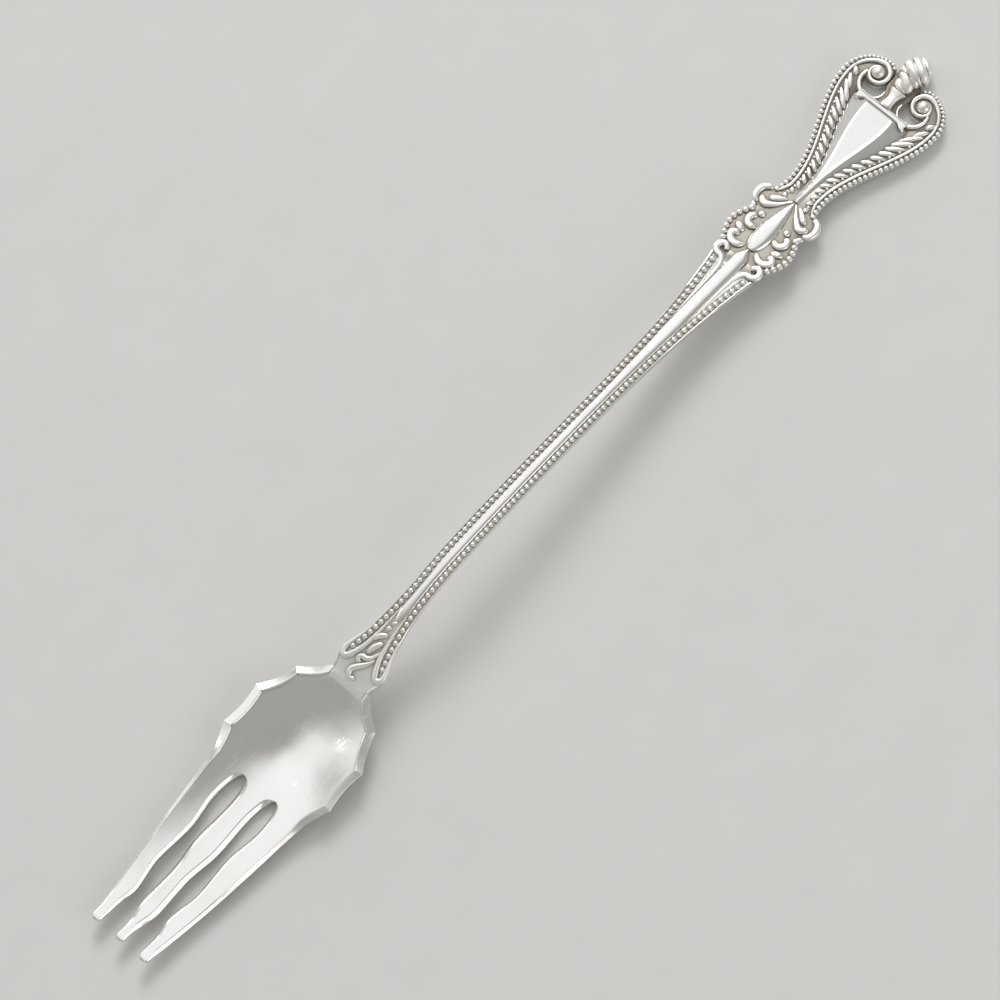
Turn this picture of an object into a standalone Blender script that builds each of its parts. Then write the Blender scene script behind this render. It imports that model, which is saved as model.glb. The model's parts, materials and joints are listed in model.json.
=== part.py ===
"""Cocktail fork with three tines, a lobed bowl, a beaded stem and a heart-shaped pierced terminal.

The fork lies face up. +X runs from the tine tips to the finial, +Y is the fork's left and +Z is up.
The origin is on the table, under the middle of the fork. Every piece is laid out flat, in lengths along the
fork (x), across it (y) and above its back (h), and then set to the arched profile, as a struck fork is.
"""

import math

import bmesh
import bpy
from mathutils import Vector

MM = 0.001

# Lengths along the fork, from the tine tips to the finial
TINE_LENGTH = 24.9 * MM
BOWL_LENGTH = 16.8 * MM
STEM_LENGTH = 71.6 * MM
CARTOUCHE_LENGTH = 6.9 * MM
SIDE_SCROLL_LENGTH = 3.1 * MM
TERMINAL_LENGTH = 17.3 * MM
PEDESTAL_LENGTH = 2.6 * MM
COLLAR_LENGTH = 2.3 * MM
FINIAL_LENGTH = 3.5 * MM

# Solder seam between neighbouring pieces
SEAM = 0.05 * MM

# Profile: the back touches the table under the bowl and under the terminal, and arches between them
TIP_RISE = 1.7 * MM
ARCH_RISE = 7.0 * MM
BELLY_TO_NECK = 14.7 * MM
NECK_TO_CREST = 20.3 * MM

# Tines and slots, with places counted from the tips and offsets from the middle line
TINE_TIP_HALF = 4.45 * MM
TINE_ROOT_HALF = 7.4 * MM
TIP_THICKNESS = 0.6 * MM
TIP_ROUND = 0.7 * MM
TINE_CHAMFER = 0.22 * MM
SLOT_TIP_OFFSET = 1.83 * MM
SLOT_ROOT_OFFSET = 2.6 * MM
BARB_AT = 5.8 * MM
SLOT_BELLY_AT = 10.5 * MM
SLOT_WAIST_AT = 15.8 * MM
SLOT_ROUND_LENGTH = 4.0 * MM
SLOT_MOUTH_WIDTH = 2.75 * MM
SLOT_BARB_WIDTH = 1.33 * MM
SLOT_BELLY_WIDTH = 2.03 * MM
SLOT_WAIST_WIDTH = 1.26 * MM
SLOT_ROOT_WIDTH = 2.07 * MM

# Bowl, with its lobe corners counted from the tine roots
BOWL_THICKNESS = 1.1 * MM
BOWL_HALF = 8.7 * MM
THIRD_LOBE_HALF = 6.5 * MM
FIRST_LOBE_AT = 3.3 * MM
SECOND_LOBE_AT = 9.1 * MM
THIRD_LOBE_AT = 13.9 * MM
LOBE_SAG = 0.3 * MM
DISH_DEPTH = 1.8 * MM
DEEPEST_TO_NECK = 10.7 * MM
RIM_WIDTH = 0.9 * MM
RIM_HEIGHT = 0.3 * MM

# Handle plates: neck, stem, cartouche and terminal share one thickness
HANDLE_THICKNESS = 1.6 * MM
NECK_HALF = 2.9 * MM
LOOP_HALF = 3.4 * MM
LOOP_AT = 2.0 * MM
STEM_HALF = 1.4 * MM
STEM_TOP_HALF = 3.8 * MM
NECK_TAPER = 14.3 * MM
TOP_FLARE = 38.3 * MM
CARTOUCHE_HALF = 4.95 * MM
CARTOUCHE_END_HALF = 3.6 * MM
SIDE_SCROLL_HALF = 4.95 * MM
TERMINAL_WAIST_HALF = 2.95 * MM
TERMINAL_START_HALF = 3.3 * MM
TERMINAL_HALF = 7.7 * MM
TERMINAL_WAIST_AT = 2.2 * MM

# Bead rows, as diameters, with the smooth edge left outside the stem's rows
STEM_BEAD = 0.62 * MM
STEM_NECK_BEAD = 0.75 * MM
STEM_TOP_BEAD = 0.9 * MM
CARTOUCHE_BEAD = 0.82 * MM
TERMINAL_BEAD = 0.66 * MM
STEM_EDGE = 0.17 * MM
STEM_TOP_EDGE = 0.5 * MM
BEAD_GROOVE = 0.08 * MM

# Smooth relief on the handle
PANEL_HEIGHT = 0.35 * MM
PANEL_TOP_HALF = 0.95 * MM
PANEL_TIP_LENGTH = 1.4 * MM
PANEL_START_LENGTH = 3.0 * MM
LOOP_WIDTH = 0.42 * MM
LOOP_OUTER_LENGTH = 2.4 * MM
NECK_LEAF_COUNT = 4
NECK_LEAF_LENGTH = 7.4 * MM
NECK_LEAF_WIDTH = 0.6 * MM
SCROLL_WIDTH = 0.6 * MM
STEM_SCROLL_RADIUS = 0.6 * MM
STEM_FILLET_LENGTH = 9.0 * MM
BOSS_HALF = 1.1 * MM
BOSS_HEIGHT = 0.6 * MM
LEAF_WIDTH = 0.62 * MM
CHEVRON_WIDTH = 0.45 * MM
FILLET_WIDTH = 0.36 * MM
HUSK_START_WIDTH = 0.55 * MM
HUSK_END_WIDTH = 1.85 * MM
HUSK_START_PITCH = 0.8 * MM
HUSK_END_PITCH = 1.4 * MM
FACET_HEIGHT = 0.45 * MM
FACET_TOP_HALF = 2.0 * MM
CROSS_BAR_WIDTH = 0.7 * MM
CROSS_BAR_HALF = 3.95 * MM
CROSS_BAR_HEIGHT = 0.6 * MM

# Volutes, eyes and finial
SHOULDER_LENGTH = 1.0 * MM
VOLUTE_INNER_HALF = 1.95 * MM
VOLUTE_END_RADIUS = 1.3 * MM
EYE_WIDTH = 1.35 * MM
EYE_INNER_HALF = 1.6 * MM
EYE_OUTER_HALF = 4.35 * MM
CURL_RADIUS = 1.7 * MM
CURL_WIDTH = 0.7 * MM
BALL_RADIUS = 0.5 * MM
PEDESTAL_HALF = 1.0 * MM
PEDESTAL_HEIGHT = 0.75 * MM
COLLAR_HALF = 1.3 * MM
COLLAR_HEIGHT = 1.0 * MM
FINIAL_HALF = 2.1 * MM
FINIAL_HALF_HEIGHT = 1.6 * MM
FINIAL_RIBS = 7
FINIAL_TWIST = math.radians(75)
RIB_DEPTH = 0.2 * MM

# Shape shares: parts of a piece's own width, height or length
BACK_SIDE_SHARE = 0.35
STEM_BACK_SHARE = 0.55
CARTOUCHE_BACK_SHARE = 0.8
PANEL_TIP_SHARE = 0.1
PANEL_SHOULDER_WIDTH = 0.75
PANEL_SHOULDER_HEIGHT = 0.7
RIM_TOP_OUTER = 0.2
RIM_TOP_INNER = 0.6
TIP_BLUNTNESS = 0.4
NECK_LEAF_REACH = 1.35
NECK_LEAF_SHORTENING = 0.15
NECK_LEAF_SPREAD = 0.8
NECK_LEAF_THINNING = 0.13
NECK_LEAF_TIP_SHARE = 0.33
NECK_TAPER_POWER = 2.6
TOP_FLARE_POWER = 3.5
BOSS_LEAN = 0.62
LOWER_SCROLL_PLACE = 0.26
LOWER_LEAF_PLACE = 0.45
UPPER_SCROLL_PLACE = 0.7
UPPER_LEAF_PLACE = 0.94
LEAF_SCROLL_REACH = 0.14
LOWER_LEAF_REACH = 0.6
UPPER_LEAF_REACH = 0.42
SCROLL_END_SHARE = 0.8
LEAF_END_SHARE = 0.4
SIDE_TAIL_SHARE = 0.6
HUSK_NECK_SHARE = 0.6
FACET_EDGE_SHARE = 0.15
FACET_MIDDLE_SHARE = 0.8
FACET_ROOM_SHARE = 0.7
BAR_EDGE_SHARE = 0.4
PEDESTAL_WAIST_SHARE = 0.15
PEDESTAL_TOP_SHARE = 0.8
COLLAR_WAIST_SHARE = 0.5
CURL_END_SHARE = 0.7
FINIAL_WIDEST = 0.3
FINIAL_SPAN = 0.72

# Angles at which the arcs of the ornament start and end, in degrees
STEM_CURL_TURN = (290, 540)
LOWER_SCROLL_TURN = (290, 80)
UPPER_SCROLL_TURN = (300, 70)
SIDE_HOOK_TURN = (215, 0)
BEAD_BORDER_END = 40
FILLET_BORDER_END = 60
VOLUTE_CURL_START = 33
VOLUTE_CURL_END = -300
VOLUTE_EYE_END = -220

# Places along the fork, counted from the tine tips
BOWL_START = TINE_LENGTH
NECK = BOWL_START + BOWL_LENGTH
CARTOUCHE_START = NECK + STEM_LENGTH
SIDE_SCROLL_START = CARTOUCHE_START + CARTOUCHE_LENGTH
TERMINAL_START = SIDE_SCROLL_START + SIDE_SCROLL_LENGTH
TERMINAL_TOP = TERMINAL_START + TERMINAL_LENGTH
COLLAR_START = TERMINAL_TOP + PEDESTAL_LENGTH
FINIAL_START = COLLAR_START + COLLAR_LENGTH
LENGTH = FINIAL_START + FINIAL_LENGTH
BELLY = NECK - BELLY_TO_NECK
CREST = NECK + NECK_TO_CREST
DEEPEST = NECK - DEEPEST_TO_NECK
LOOP_X = NECK + LOOP_AT

# Mesh fineness
PLATE_STEP = 1.8 * MM
BOWL_COLUMNS = 12
FINIAL_FACETS = 28
BALL_ANGLES = [math.radians(angle) for angle in (-72, -45, 0, 45, 72)]
ARC_STEP = math.radians(18)
SHARP_ANGLE = math.radians(30)
HALF_ROUND = [(math.cos(math.radians(angle)), math.sin(math.radians(angle))) for angle in range(0, 181, 45)]

SIDES = (("left", 1), ("right", -1))


def smooth(t):
    """Ease from 0 to 1 with level ends."""
    t = min(max(t, 0.0), 1.0)
    return t * t * (3 - 2 * t)


def mix(start, end, t):
    return start + (end - start) * t


def steps(start, end, spacing):
    """Evenly spaced places from start to end, no further apart than spacing."""
    count = max(1, math.ceil(abs(end - start) / spacing))
    return [mix(start, end, i / count) for i in range(count + 1)]


def back_line(x):
    """Height of the fork's back above the table, along its middle line."""
    if x < BELLY:
        return TIP_RISE * ((BELLY - x) / BELLY) ** 2
    if x < CREST:
        return ARCH_RISE * smooth((x - BELLY) / (CREST - BELLY))
    return ARCH_RISE * (1 - smooth((x - CREST) / (TERMINAL_TOP - CREST)))


def dish(x, y):
    """Rise of the tines and the bowl towards their sides."""
    if x < DEEPEST:
        depth = smooth(x / DEEPEST)
    else:
        depth = 1 - smooth((x - DEEPEST) / (NECK - DEEPEST))
    return DISH_DEPTH * depth * (y / BOWL_HALF) ** 2


def place(x, y, h):
    """Set a flat-laid point to the fork's profile."""
    return Vector((x - LENGTH / 2, y, back_line(x) + dish(x, y) + h))


def make_material(name, colour, roughness):
    material = bpy.data.materials.new(name)
    material.use_nodes = True
    shader = material.node_tree.nodes["Principled BSDF"]
    shader.inputs["Base Color"].default_value = (*colour, 1.0)
    shader.inputs["Metallic"].default_value = 1.0
    shader.inputs["Roughness"].default_value = roughness
    return material


def make_object(name, mesh, material):
    """Turn a finished bmesh into an object that sits at the middle of its own piece."""
    bmesh.ops.recalc_face_normals(mesh, faces=mesh.faces)
    centre = sum((vertex.co for vertex in mesh.verts), Vector()) / len(mesh.verts)
    bmesh.ops.translate(mesh, verts=mesh.verts, vec=-centre)
    data = bpy.data.meshes.new(name)
    mesh.to_mesh(data)
    mesh.free()
    data.shade_smooth()
    data.set_sharp_from_angle(angle=SHARP_ANGLE)
    data.materials.append(material)
    piece = bpy.data.objects.new(name, data)
    piece.location = centre
    piece.parent = bpy.data.objects["fork"]
    bpy.context.collection.objects.link(piece)
    return piece


def skin(mesh, rings):
    """Join closed rings of points in order, and cap both ends."""
    loops = [[mesh.verts.new(point) for point in ring] for ring in rings]
    count = len(loops[0])
    for near, far in zip(loops, loops[1:]):
        for i in range(count):
            j = (i + 1) % count
            mesh.faces.new((near[i], near[j], far[j], far[i]))
    mesh.faces.new(loops[0])
    mesh.faces.new(loops[-1])


def loft(name, stations, section, material):
    """Skin the closed sections that a function gives as (y, h) points at each place along the fork."""
    mesh = bmesh.new()
    skin(mesh, [[place(x, y, h) for y, h in section(x)] for x in stations])
    return make_object(name, mesh, material)


def normal_at(path, i):
    """Unit normal, to the left of travel, of a plan path at one of its points."""
    ahead = path[min(i + 1, len(path) - 1)]
    behind = path[max(i - 1, 0)]
    dx = ahead[0] - behind[0]
    dy = ahead[1] - behind[1]
    length = math.hypot(dx, dy)
    return -dy / length, dx / length


def sweep(name, path, halves, rises, material):
    """Run a half-round bar along a plan path on the handle's face."""
    base = HANDLE_THICKNESS + SEAM
    rings = []
    for i, (x, y) in enumerate(path):
        nx, ny = normal_at(path, i)
        ring = []
        for across, up in HALF_ROUND:
            offset = across * halves[i]
            ring.append(place(x + nx * offset, y + ny * offset, base + up * rises[i]))
        rings.append(ring)
    mesh = bmesh.new()
    skin(mesh, rings)
    return make_object(name, mesh, material)


def tapered(path, start, middle, end):
    """Half widths along a path that swells from start to middle and falls to end."""
    last = len(path) - 1
    halves = []
    for i in range(len(path)):
        t = i / last
        if t < 0.5:
            halves.append(mix(start, middle, smooth(2 * t)))
        else:
            halves.append(mix(middle, end, smooth(2 * t - 1)))
    return halves


def mirrored(path, side):
    return [(x, side * y) for x, y in path]


def arc(centre, radius, start, end, end_radius=None):
    """Plan points on an arc, or on a spiral when it ends at another radius. Angles are in degrees."""
    end_radius = radius if end_radius is None else end_radius
    angles = steps(math.radians(start), math.radians(end), ARC_STEP)
    points = []
    for angle in angles:
        reach = mix(radius, end_radius, (angle - angles[0]) / (angles[-1] - angles[0]))
        points.append((centre[0] + reach * math.cos(angle), centre[1] + reach * math.sin(angle)))
    return points


def inset(outline, distance):
    """Move plan points to the right of travel by one distance."""
    moved = []
    for i, (x, y) in enumerate(outline):
        nx, ny = normal_at(outline, i)
        moved.append((x - nx * distance, y - ny * distance))
    return moved


def bead_row(line, bead_at):
    """Walk along a row's middle line and give each bead a narrow ring and a wide one."""
    path = []
    halves = []
    travelled = 0.0
    due = 0.0
    for (x0, y0), (x1, y1) in zip(line, line[1:]):
        length = math.hypot(x1 - x0, y1 - y0)
        while due <= travelled + length:
            t = (due - travelled) / length
            path.append((mix(x0, x1, t), mix(y0, y1, t)))
            bead = bead_at(path[-1][0])
            halves.append(bead / 2 if len(path) % 2 == 0 else bead / 4)
            due += bead / 2
        travelled += length
    if len(path) % 2 == 0:
        path.pop()
        halves.pop()
    return path, halves


def slot_width(x):
    """Width of a slot at a place along the tines."""
    round_start = TINE_LENGTH - SLOT_ROUND_LENGTH
    if x < BARB_AT:
        return mix(SLOT_MOUTH_WIDTH, SLOT_BARB_WIDTH, x / BARB_AT)
    if x < SLOT_BELLY_AT:
        return mix(SLOT_BARB_WIDTH, SLOT_BELLY_WIDTH, smooth((x - BARB_AT) / (SLOT_BELLY_AT - BARB_AT)))
    if x < SLOT_WAIST_AT:
        t = (x - SLOT_BELLY_AT) / (SLOT_WAIST_AT - SLOT_BELLY_AT)
        return mix(SLOT_BELLY_WIDTH, SLOT_WAIST_WIDTH, smooth(t))
    if x < round_start:
        t = (x - SLOT_WAIST_AT) / (round_start - SLOT_WAIST_AT)
        return mix(SLOT_WAIST_WIDTH, SLOT_ROOT_WIDTH, smooth(t))
    t = min((x - round_start) / SLOT_ROUND_LENGTH, 1.0)
    return max(SEAM, SLOT_ROOT_WIDTH * math.sqrt(1 - t * t))


def slot_edges(x):
    """Distances of a slot's inner and outer side from the middle line."""
    middle = mix(SLOT_TIP_OFFSET, SLOT_ROOT_OFFSET, x / TINE_LENGTH)
    return middle - slot_width(x) / 2, middle + slot_width(x) / 2


def tine_thickness(x):
    return mix(TIP_THICKNESS, BOWL_THICKNESS, smooth(x / SLOT_WAIST_AT))


def tine_section(inner, outer, x):
    """Chamfered section of one tine between two edges, with its tip rounded off."""
    short = max(0.0, 1 - x / TIP_ROUND)
    trim = (1 - max(TIP_BLUNTNESS, math.sqrt(1 - short * short))) / 2 * (outer - inner)
    inner += trim
    outer -= trim
    top = tine_thickness(x)
    chamfer = min(TINE_CHAMFER, (outer - inner) / 4)
    return [
        (inner, 0.0),
        (outer, 0.0),
        (outer, top - chamfer),
        (outer - chamfer, top),
        (inner + chamfer, top),
        (inner, top - chamfer),
    ]


def tine_places():
    round_start = TINE_LENGTH - SLOT_ROUND_LENGTH
    places = [0.0, TIP_ROUND / 6, TIP_ROUND / 2]
    places += steps(TIP_ROUND, BARB_AT, PLATE_STEP)
    places += steps(BARB_AT, SLOT_WAIST_AT, PLATE_STEP)[1:]
    places += steps(SLOT_WAIST_AT, round_start, PLATE_STEP)[1:]
    places += [round_start + SLOT_ROUND_LENGTH * math.sin(math.radians(angle)) for angle in (25, 45, 60, 75)]
    return places + [TINE_LENGTH]


def build_tines(material):
    def outer_section(side):
        def section(x):
            edge = mix(TINE_TIP_HALF, TINE_ROOT_HALF, x / TINE_LENGTH)
            return [(side * y, h) for y, h in tine_section(slot_edges(x)[1], edge, x)]
        return section

    def middle_section(x):
        half = slot_edges(x)[0]
        return tine_section(-half, half, x)

    for word, side in SIDES:
        loft("tine_" + word, tine_places(), outer_section(side), material)
    loft("tine_middle", tine_places(), middle_section, material)


def bowl_half(x):
    """Half width of the bowl: straight runs between lobe corners, each sagging inwards a little."""
    corners = [
        (BOWL_START, TINE_ROOT_HALF),
        (BOWL_START + FIRST_LOBE_AT, BOWL_HALF),
        (BOWL_START + SECOND_LOBE_AT, BOWL_HALF),
        (BOWL_START + THIRD_LOBE_AT, THIRD_LOBE_HALF),
        (NECK, NECK_HALF),
    ]
    for (x0, half0), (x1, half1) in zip(corners, corners[1:]):
        if x <= x1:
            t = max(0.0, (x - x0) / (x1 - x0))
            return mix(half0, half1, t) - LOBE_SAG * math.sin(math.pi * t)
    return NECK_HALF


def bowl_thickness(x):
    """Plate thickness, which grows to the handle's own over the last lobe."""
    lobe_start = BOWL_START + SECOND_LOBE_AT
    return mix(BOWL_THICKNESS, HANDLE_THICKNESS, smooth((x - lobe_start) / (NECK - lobe_start)))


def bowl_places():
    corners = [0.0, BELLY - BOWL_START, FIRST_LOBE_AT, SECOND_LOBE_AT, THIRD_LOBE_AT, BOWL_LENGTH]
    places = [BOWL_START + SEAM]
    for start, end in zip(corners, corners[1:]):
        places += [BOWL_START + at for at in steps(start, end, PLATE_STEP)[1:]]
    places[-1] -= SEAM
    return places


def build_bowl(material):
    columns = [mix(-1.0, 1.0, i / BOWL_COLUMNS) for i in range(BOWL_COLUMNS + 1)]

    def bowl_section(x):
        half = bowl_half(x)
        under = [(half * column, 0.0) for column in columns]
        over = [(half * column, bowl_thickness(x)) for column in reversed(columns)]
        return under + over

    def rim_section(side):
        def section(x):
            edge = bowl_half(x)
            base = bowl_thickness(x) + SEAM
            ring = [
                (edge - RIM_WIDTH, base),
                (edge, base),
                (edge - RIM_TOP_OUTER * RIM_WIDTH, base + RIM_HEIGHT),
                (edge - RIM_TOP_INNER * RIM_WIDTH, base + RIM_HEIGHT),
            ]
            return [(side * y, h) for y, h in ring]
        return section

    loft("bowl", bowl_places(), bowl_section, material)
    for word, side in SIDES:
        loft("bowl_rim_" + word, bowl_places(), rim_section(side), material)


def stem_half(x):
    """Half width of the neck and stem plate: loop ends, slender middle and flared top."""
    if x < LOOP_X:
        return mix(NECK_HALF, LOOP_HALF, smooth((x - NECK) / LOOP_AT))
    below = max(0.0, 1 - (x - LOOP_X) / NECK_TAPER)
    above = max(0.0, 1 - (CARTOUCHE_START - x) / TOP_FLARE)
    neck_part = (LOOP_HALF - STEM_HALF) * below ** NECK_TAPER_POWER
    top_part = (STEM_TOP_HALF - STEM_HALF) * above ** TOP_FLARE_POWER
    return STEM_HALF + neck_part + top_part


def stem_bead(x):
    below = max(0.0, 1 - (x - LOOP_X) / NECK_TAPER)
    above = max(0.0, 1 - (CARTOUCHE_START - x) / TOP_FLARE)
    return STEM_BEAD + (STEM_NECK_BEAD - STEM_BEAD) * below + (STEM_TOP_BEAD - STEM_BEAD) * above ** 2


def stem_edge(x):
    """Smooth edge left outside the bead rows, wide at the neck loops and at the flared top."""
    below = max(0.0, 1 - (x - LOOP_X) / NECK_TAPER)
    above = max(0.0, 1 - (CARTOUCHE_START - x) / TOP_FLARE)
    return STEM_EDGE + (LOOP_WIDTH + SEAM - STEM_EDGE) * below + (STEM_TOP_EDGE - STEM_EDGE) * above ** 2


def bead_inner(x):
    """Distance from the middle line to the inner side of a stem bead row."""
    return stem_half(x) - stem_edge(x) - stem_bead(x) - BEAD_GROOVE


def panel_half(x):
    """Half width of the smooth panel between the stem's bead rows."""
    return min(bead_inner(x), PANEL_TOP_HALF)


def loop_inner(x):
    """Distance from the middle line to the inner side of a neck loop."""
    return bead_inner(x) - LOOP_WIDTH


PANEL_START = NECK + NECK_LEAF_LENGTH
BEAD_START = LOOP_X + LOOP_WIDTH
SCROLL_X = CARTOUCHE_START - SEAM - STEM_SCROLL_RADIUS - SCROLL_WIDTH / 2


def plate_ring(half, back_share):
    """Section of a handle plate: flat face, upright sides and a back with rounded-off edges."""
    side = BACK_SIDE_SHARE * HANDLE_THICKNESS
    return [
        (-half, side),
        (-back_share * half, 0.0),
        (back_share * half, 0.0),
        (half, side),
        (half, HANDLE_THICKNESS),
        (-half, HANDLE_THICKNESS),
    ]


def stem_places():
    places = steps(NECK + SEAM, LOOP_X, PLATE_STEP / 2)
    places += steps(LOOP_X, CARTOUCHE_START - SEAM, PLATE_STEP)[1:]
    return places


def build_stem(material):
    def stem_section(x):
        return plate_ring(stem_half(x), STEM_BACK_SHARE)

    def panel_section(x):
        base = HANDLE_THICKNESS + SEAM
        opening = smooth((x - PANEL_START) / PANEL_START_LENGTH)
        closing = min(1.0, (CARTOUCHE_START + PANEL_TIP_LENGTH - x) / PANEL_TIP_LENGTH)
        half = panel_half(min(x, CARTOUCHE_START)) * max(PANEL_TIP_SHARE, min(opening, closing))
        return [
            (-half, base),
            (half, base),
            (PANEL_SHOULDER_WIDTH * half, base + PANEL_SHOULDER_HEIGHT * PANEL_HEIGHT),
            (0.0, base + PANEL_HEIGHT),
            (-PANEL_SHOULDER_WIDTH * half, base + PANEL_SHOULDER_HEIGHT * PANEL_HEIGHT),
        ]

    loft("stem", stem_places(), stem_section, material)
    panel_places = steps(PANEL_START, PANEL_START + PANEL_START_LENGTH, PLATE_STEP / 2)
    panel_places += steps(panel_places[-1], CARTOUCHE_START, PLATE_STEP)[1:]
    panel_places += steps(CARTOUCHE_START, CARTOUCHE_START + PANEL_TIP_LENGTH, PLATE_STEP / 2)[1:]
    loft("stem_panel", panel_places, panel_section, material)


def build_stem_beads(material):
    end = SCROLL_X - STEM_SCROLL_RADIUS - SCROLL_WIDTH / 2 - SEAM
    places = steps(BEAD_START, end, PLATE_STEP / 4)
    line = [(x, stem_half(x) - stem_edge(x) - stem_bead(x) / 2) for x in places]
    path, halves = bead_row(line, stem_bead)
    for word, side in SIDES:
        sweep("stem_beads_" + word, mirrored(path, side), halves, halves, material)


def build_neck(material):
    """U-shaped fillets that end the bead rows, and the running leaf spray between them."""
    half = LOOP_WIDTH / 2
    turn_x = BEAD_START
    outer = stem_half(turn_x) - half
    inner = bead_inner(turn_x) - half
    radius = (outer - inner) / 2
    outer_end = turn_x + LOOP_OUTER_LENGTH
    path = [(x, stem_half(x) - half) for x in steps(outer_end, turn_x, PLATE_STEP / 2)]
    path += arc((turn_x, inner + radius), radius, 90, 270)[1:]
    path += [(x, bead_inner(x) - half) for x in steps(turn_x, PANEL_START, PLATE_STEP / 2)[1:]]
    widths = [half] * len(path)
    for word, side in SIDES:
        sweep("neck_loop_" + word, mirrored(path, side), widths, widths, material)

    pitch = NECK_LEAF_LENGTH / NECK_LEAF_COUNT
    for number in range(NECK_LEAF_COUNT):
        start = NECK + 2 * SEAM + pitch * number
        reach = pitch * (NECK_LEAF_REACH - NECK_LEAF_SHORTENING * number)
        spread = (loop_inner(max(start + reach / 2, turn_x)) - NECK_LEAF_WIDTH / 2) * NECK_LEAF_SPREAD
        leaf = []
        for t in steps(0.0, 1.0, 1 / 6):
            leaf.append((start + NECK_LEAF_WIDTH / 2 + reach * t, spread * math.cos(math.pi * t)))
        leaf_half = NECK_LEAF_WIDTH / 2 * (1 - NECK_LEAF_THINNING * number)
        leaf_halves = tapered(leaf, leaf_half, leaf_half, NECK_LEAF_TIP_SHARE * leaf_half)
        sweep("neck_leaf_%d" % (number + 1), leaf, leaf_halves, leaf_halves, material)


def build_stem_scrolls(material):
    """Fillets inside the bead rows that end in a curl at the top of the stem."""
    half = SCROLL_WIDTH / 2
    centre_y = stem_half(SCROLL_X) - STEM_SCROLL_RADIUS - half - SEAM
    fillet_end = SCROLL_X - STEM_SCROLL_RADIUS
    path = []
    halves = []
    for x in steps(fillet_end - STEM_FILLET_LENGTH, fillet_end, PLATE_STEP / 2):
        room = bead_inner(x) - panel_half(x)
        half_here = min(half, room / 2 - SEAM)
        if half_here > SEAM:
            path.append((x, panel_half(x) + room / 2))
            halves.append(half_here)
    curl = arc((SCROLL_X, centre_y), STEM_SCROLL_RADIUS, *STEM_CURL_TURN)
    path += curl
    halves += tapered(curl, halves[-1], half, half)
    for word, side in SIDES:
        sweep("stem_scroll_" + word, mirrored(path, side), halves, halves, material)


def cartouche_half(x):
    """Half width of the cartouche: a beaded oval, then the two side scrolls."""
    if x < SIDE_SCROLL_START:
        swell = math.sin(math.pi * max(0.0, x - CARTOUCHE_START) / CARTOUCHE_LENGTH)
        return mix(CARTOUCHE_END_HALF, CARTOUCHE_HALF, swell)
    t = min(1.0, (x - SIDE_SCROLL_START) / SIDE_SCROLL_LENGTH)
    swell = math.sqrt(math.sin(math.pi * t)) if t < 1.0 else 0.0
    return mix(mix(CARTOUCHE_END_HALF, TERMINAL_START_HALF, t), SIDE_SCROLL_HALF, swell)


def boss_half(x):
    """Half width of the pear-shaped boss, blunt towards the stem and drawn out towards the terminal."""
    start = CARTOUCHE_START + PANEL_TIP_LENGTH + SEAM
    t = (x - start) / (TERMINAL_START - start)
    if t <= 0.0 or t >= 1.0:
        return 0.0
    return BOSS_HALF * math.sin(math.pi * t ** BOSS_LEAN)


def build_cartouche(material):
    def plate_section(x):
        return plate_ring(cartouche_half(x), CARTOUCHE_BACK_SHARE)

    def boss_section(x):
        base = HANDLE_THICKNESS + SEAM
        half = max(boss_half(x), 2 * SEAM)
        rise = BOSS_HEIGHT * math.sqrt(half / BOSS_HALF)
        return [(half * across, base + rise * up) for across, up in HALF_ROUND]

    places = steps(CARTOUCHE_START, SIDE_SCROLL_START, PLATE_STEP / 3)
    places += steps(SIDE_SCROLL_START, TERMINAL_START, PLATE_STEP / 4)[1:]
    places[-1] -= SEAM
    loft("cartouche", places, plate_section, material)
    boss_start = CARTOUCHE_START + PANEL_TIP_LENGTH + SEAM
    boss_end = TERMINAL_START - SIDE_SCROLL_LENGTH / 3
    loft("cartouche_boss", steps(boss_start, boss_end, PLATE_STEP / 3), boss_section, material)


def build_cartouche_beads(material):
    places = steps(CARTOUCHE_START + SEAM, SIDE_SCROLL_START - SEAM, PLATE_STEP / 6)
    line = inset([(x, cartouche_half(x)) for x in places], CARTOUCHE_BEAD / 2)
    path, halves = bead_row(line, lambda x: CARTOUCHE_BEAD)
    for word, side in SIDES:
        sweep("cartouche_beads_" + word, mirrored(path, side), halves, halves, material)


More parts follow.
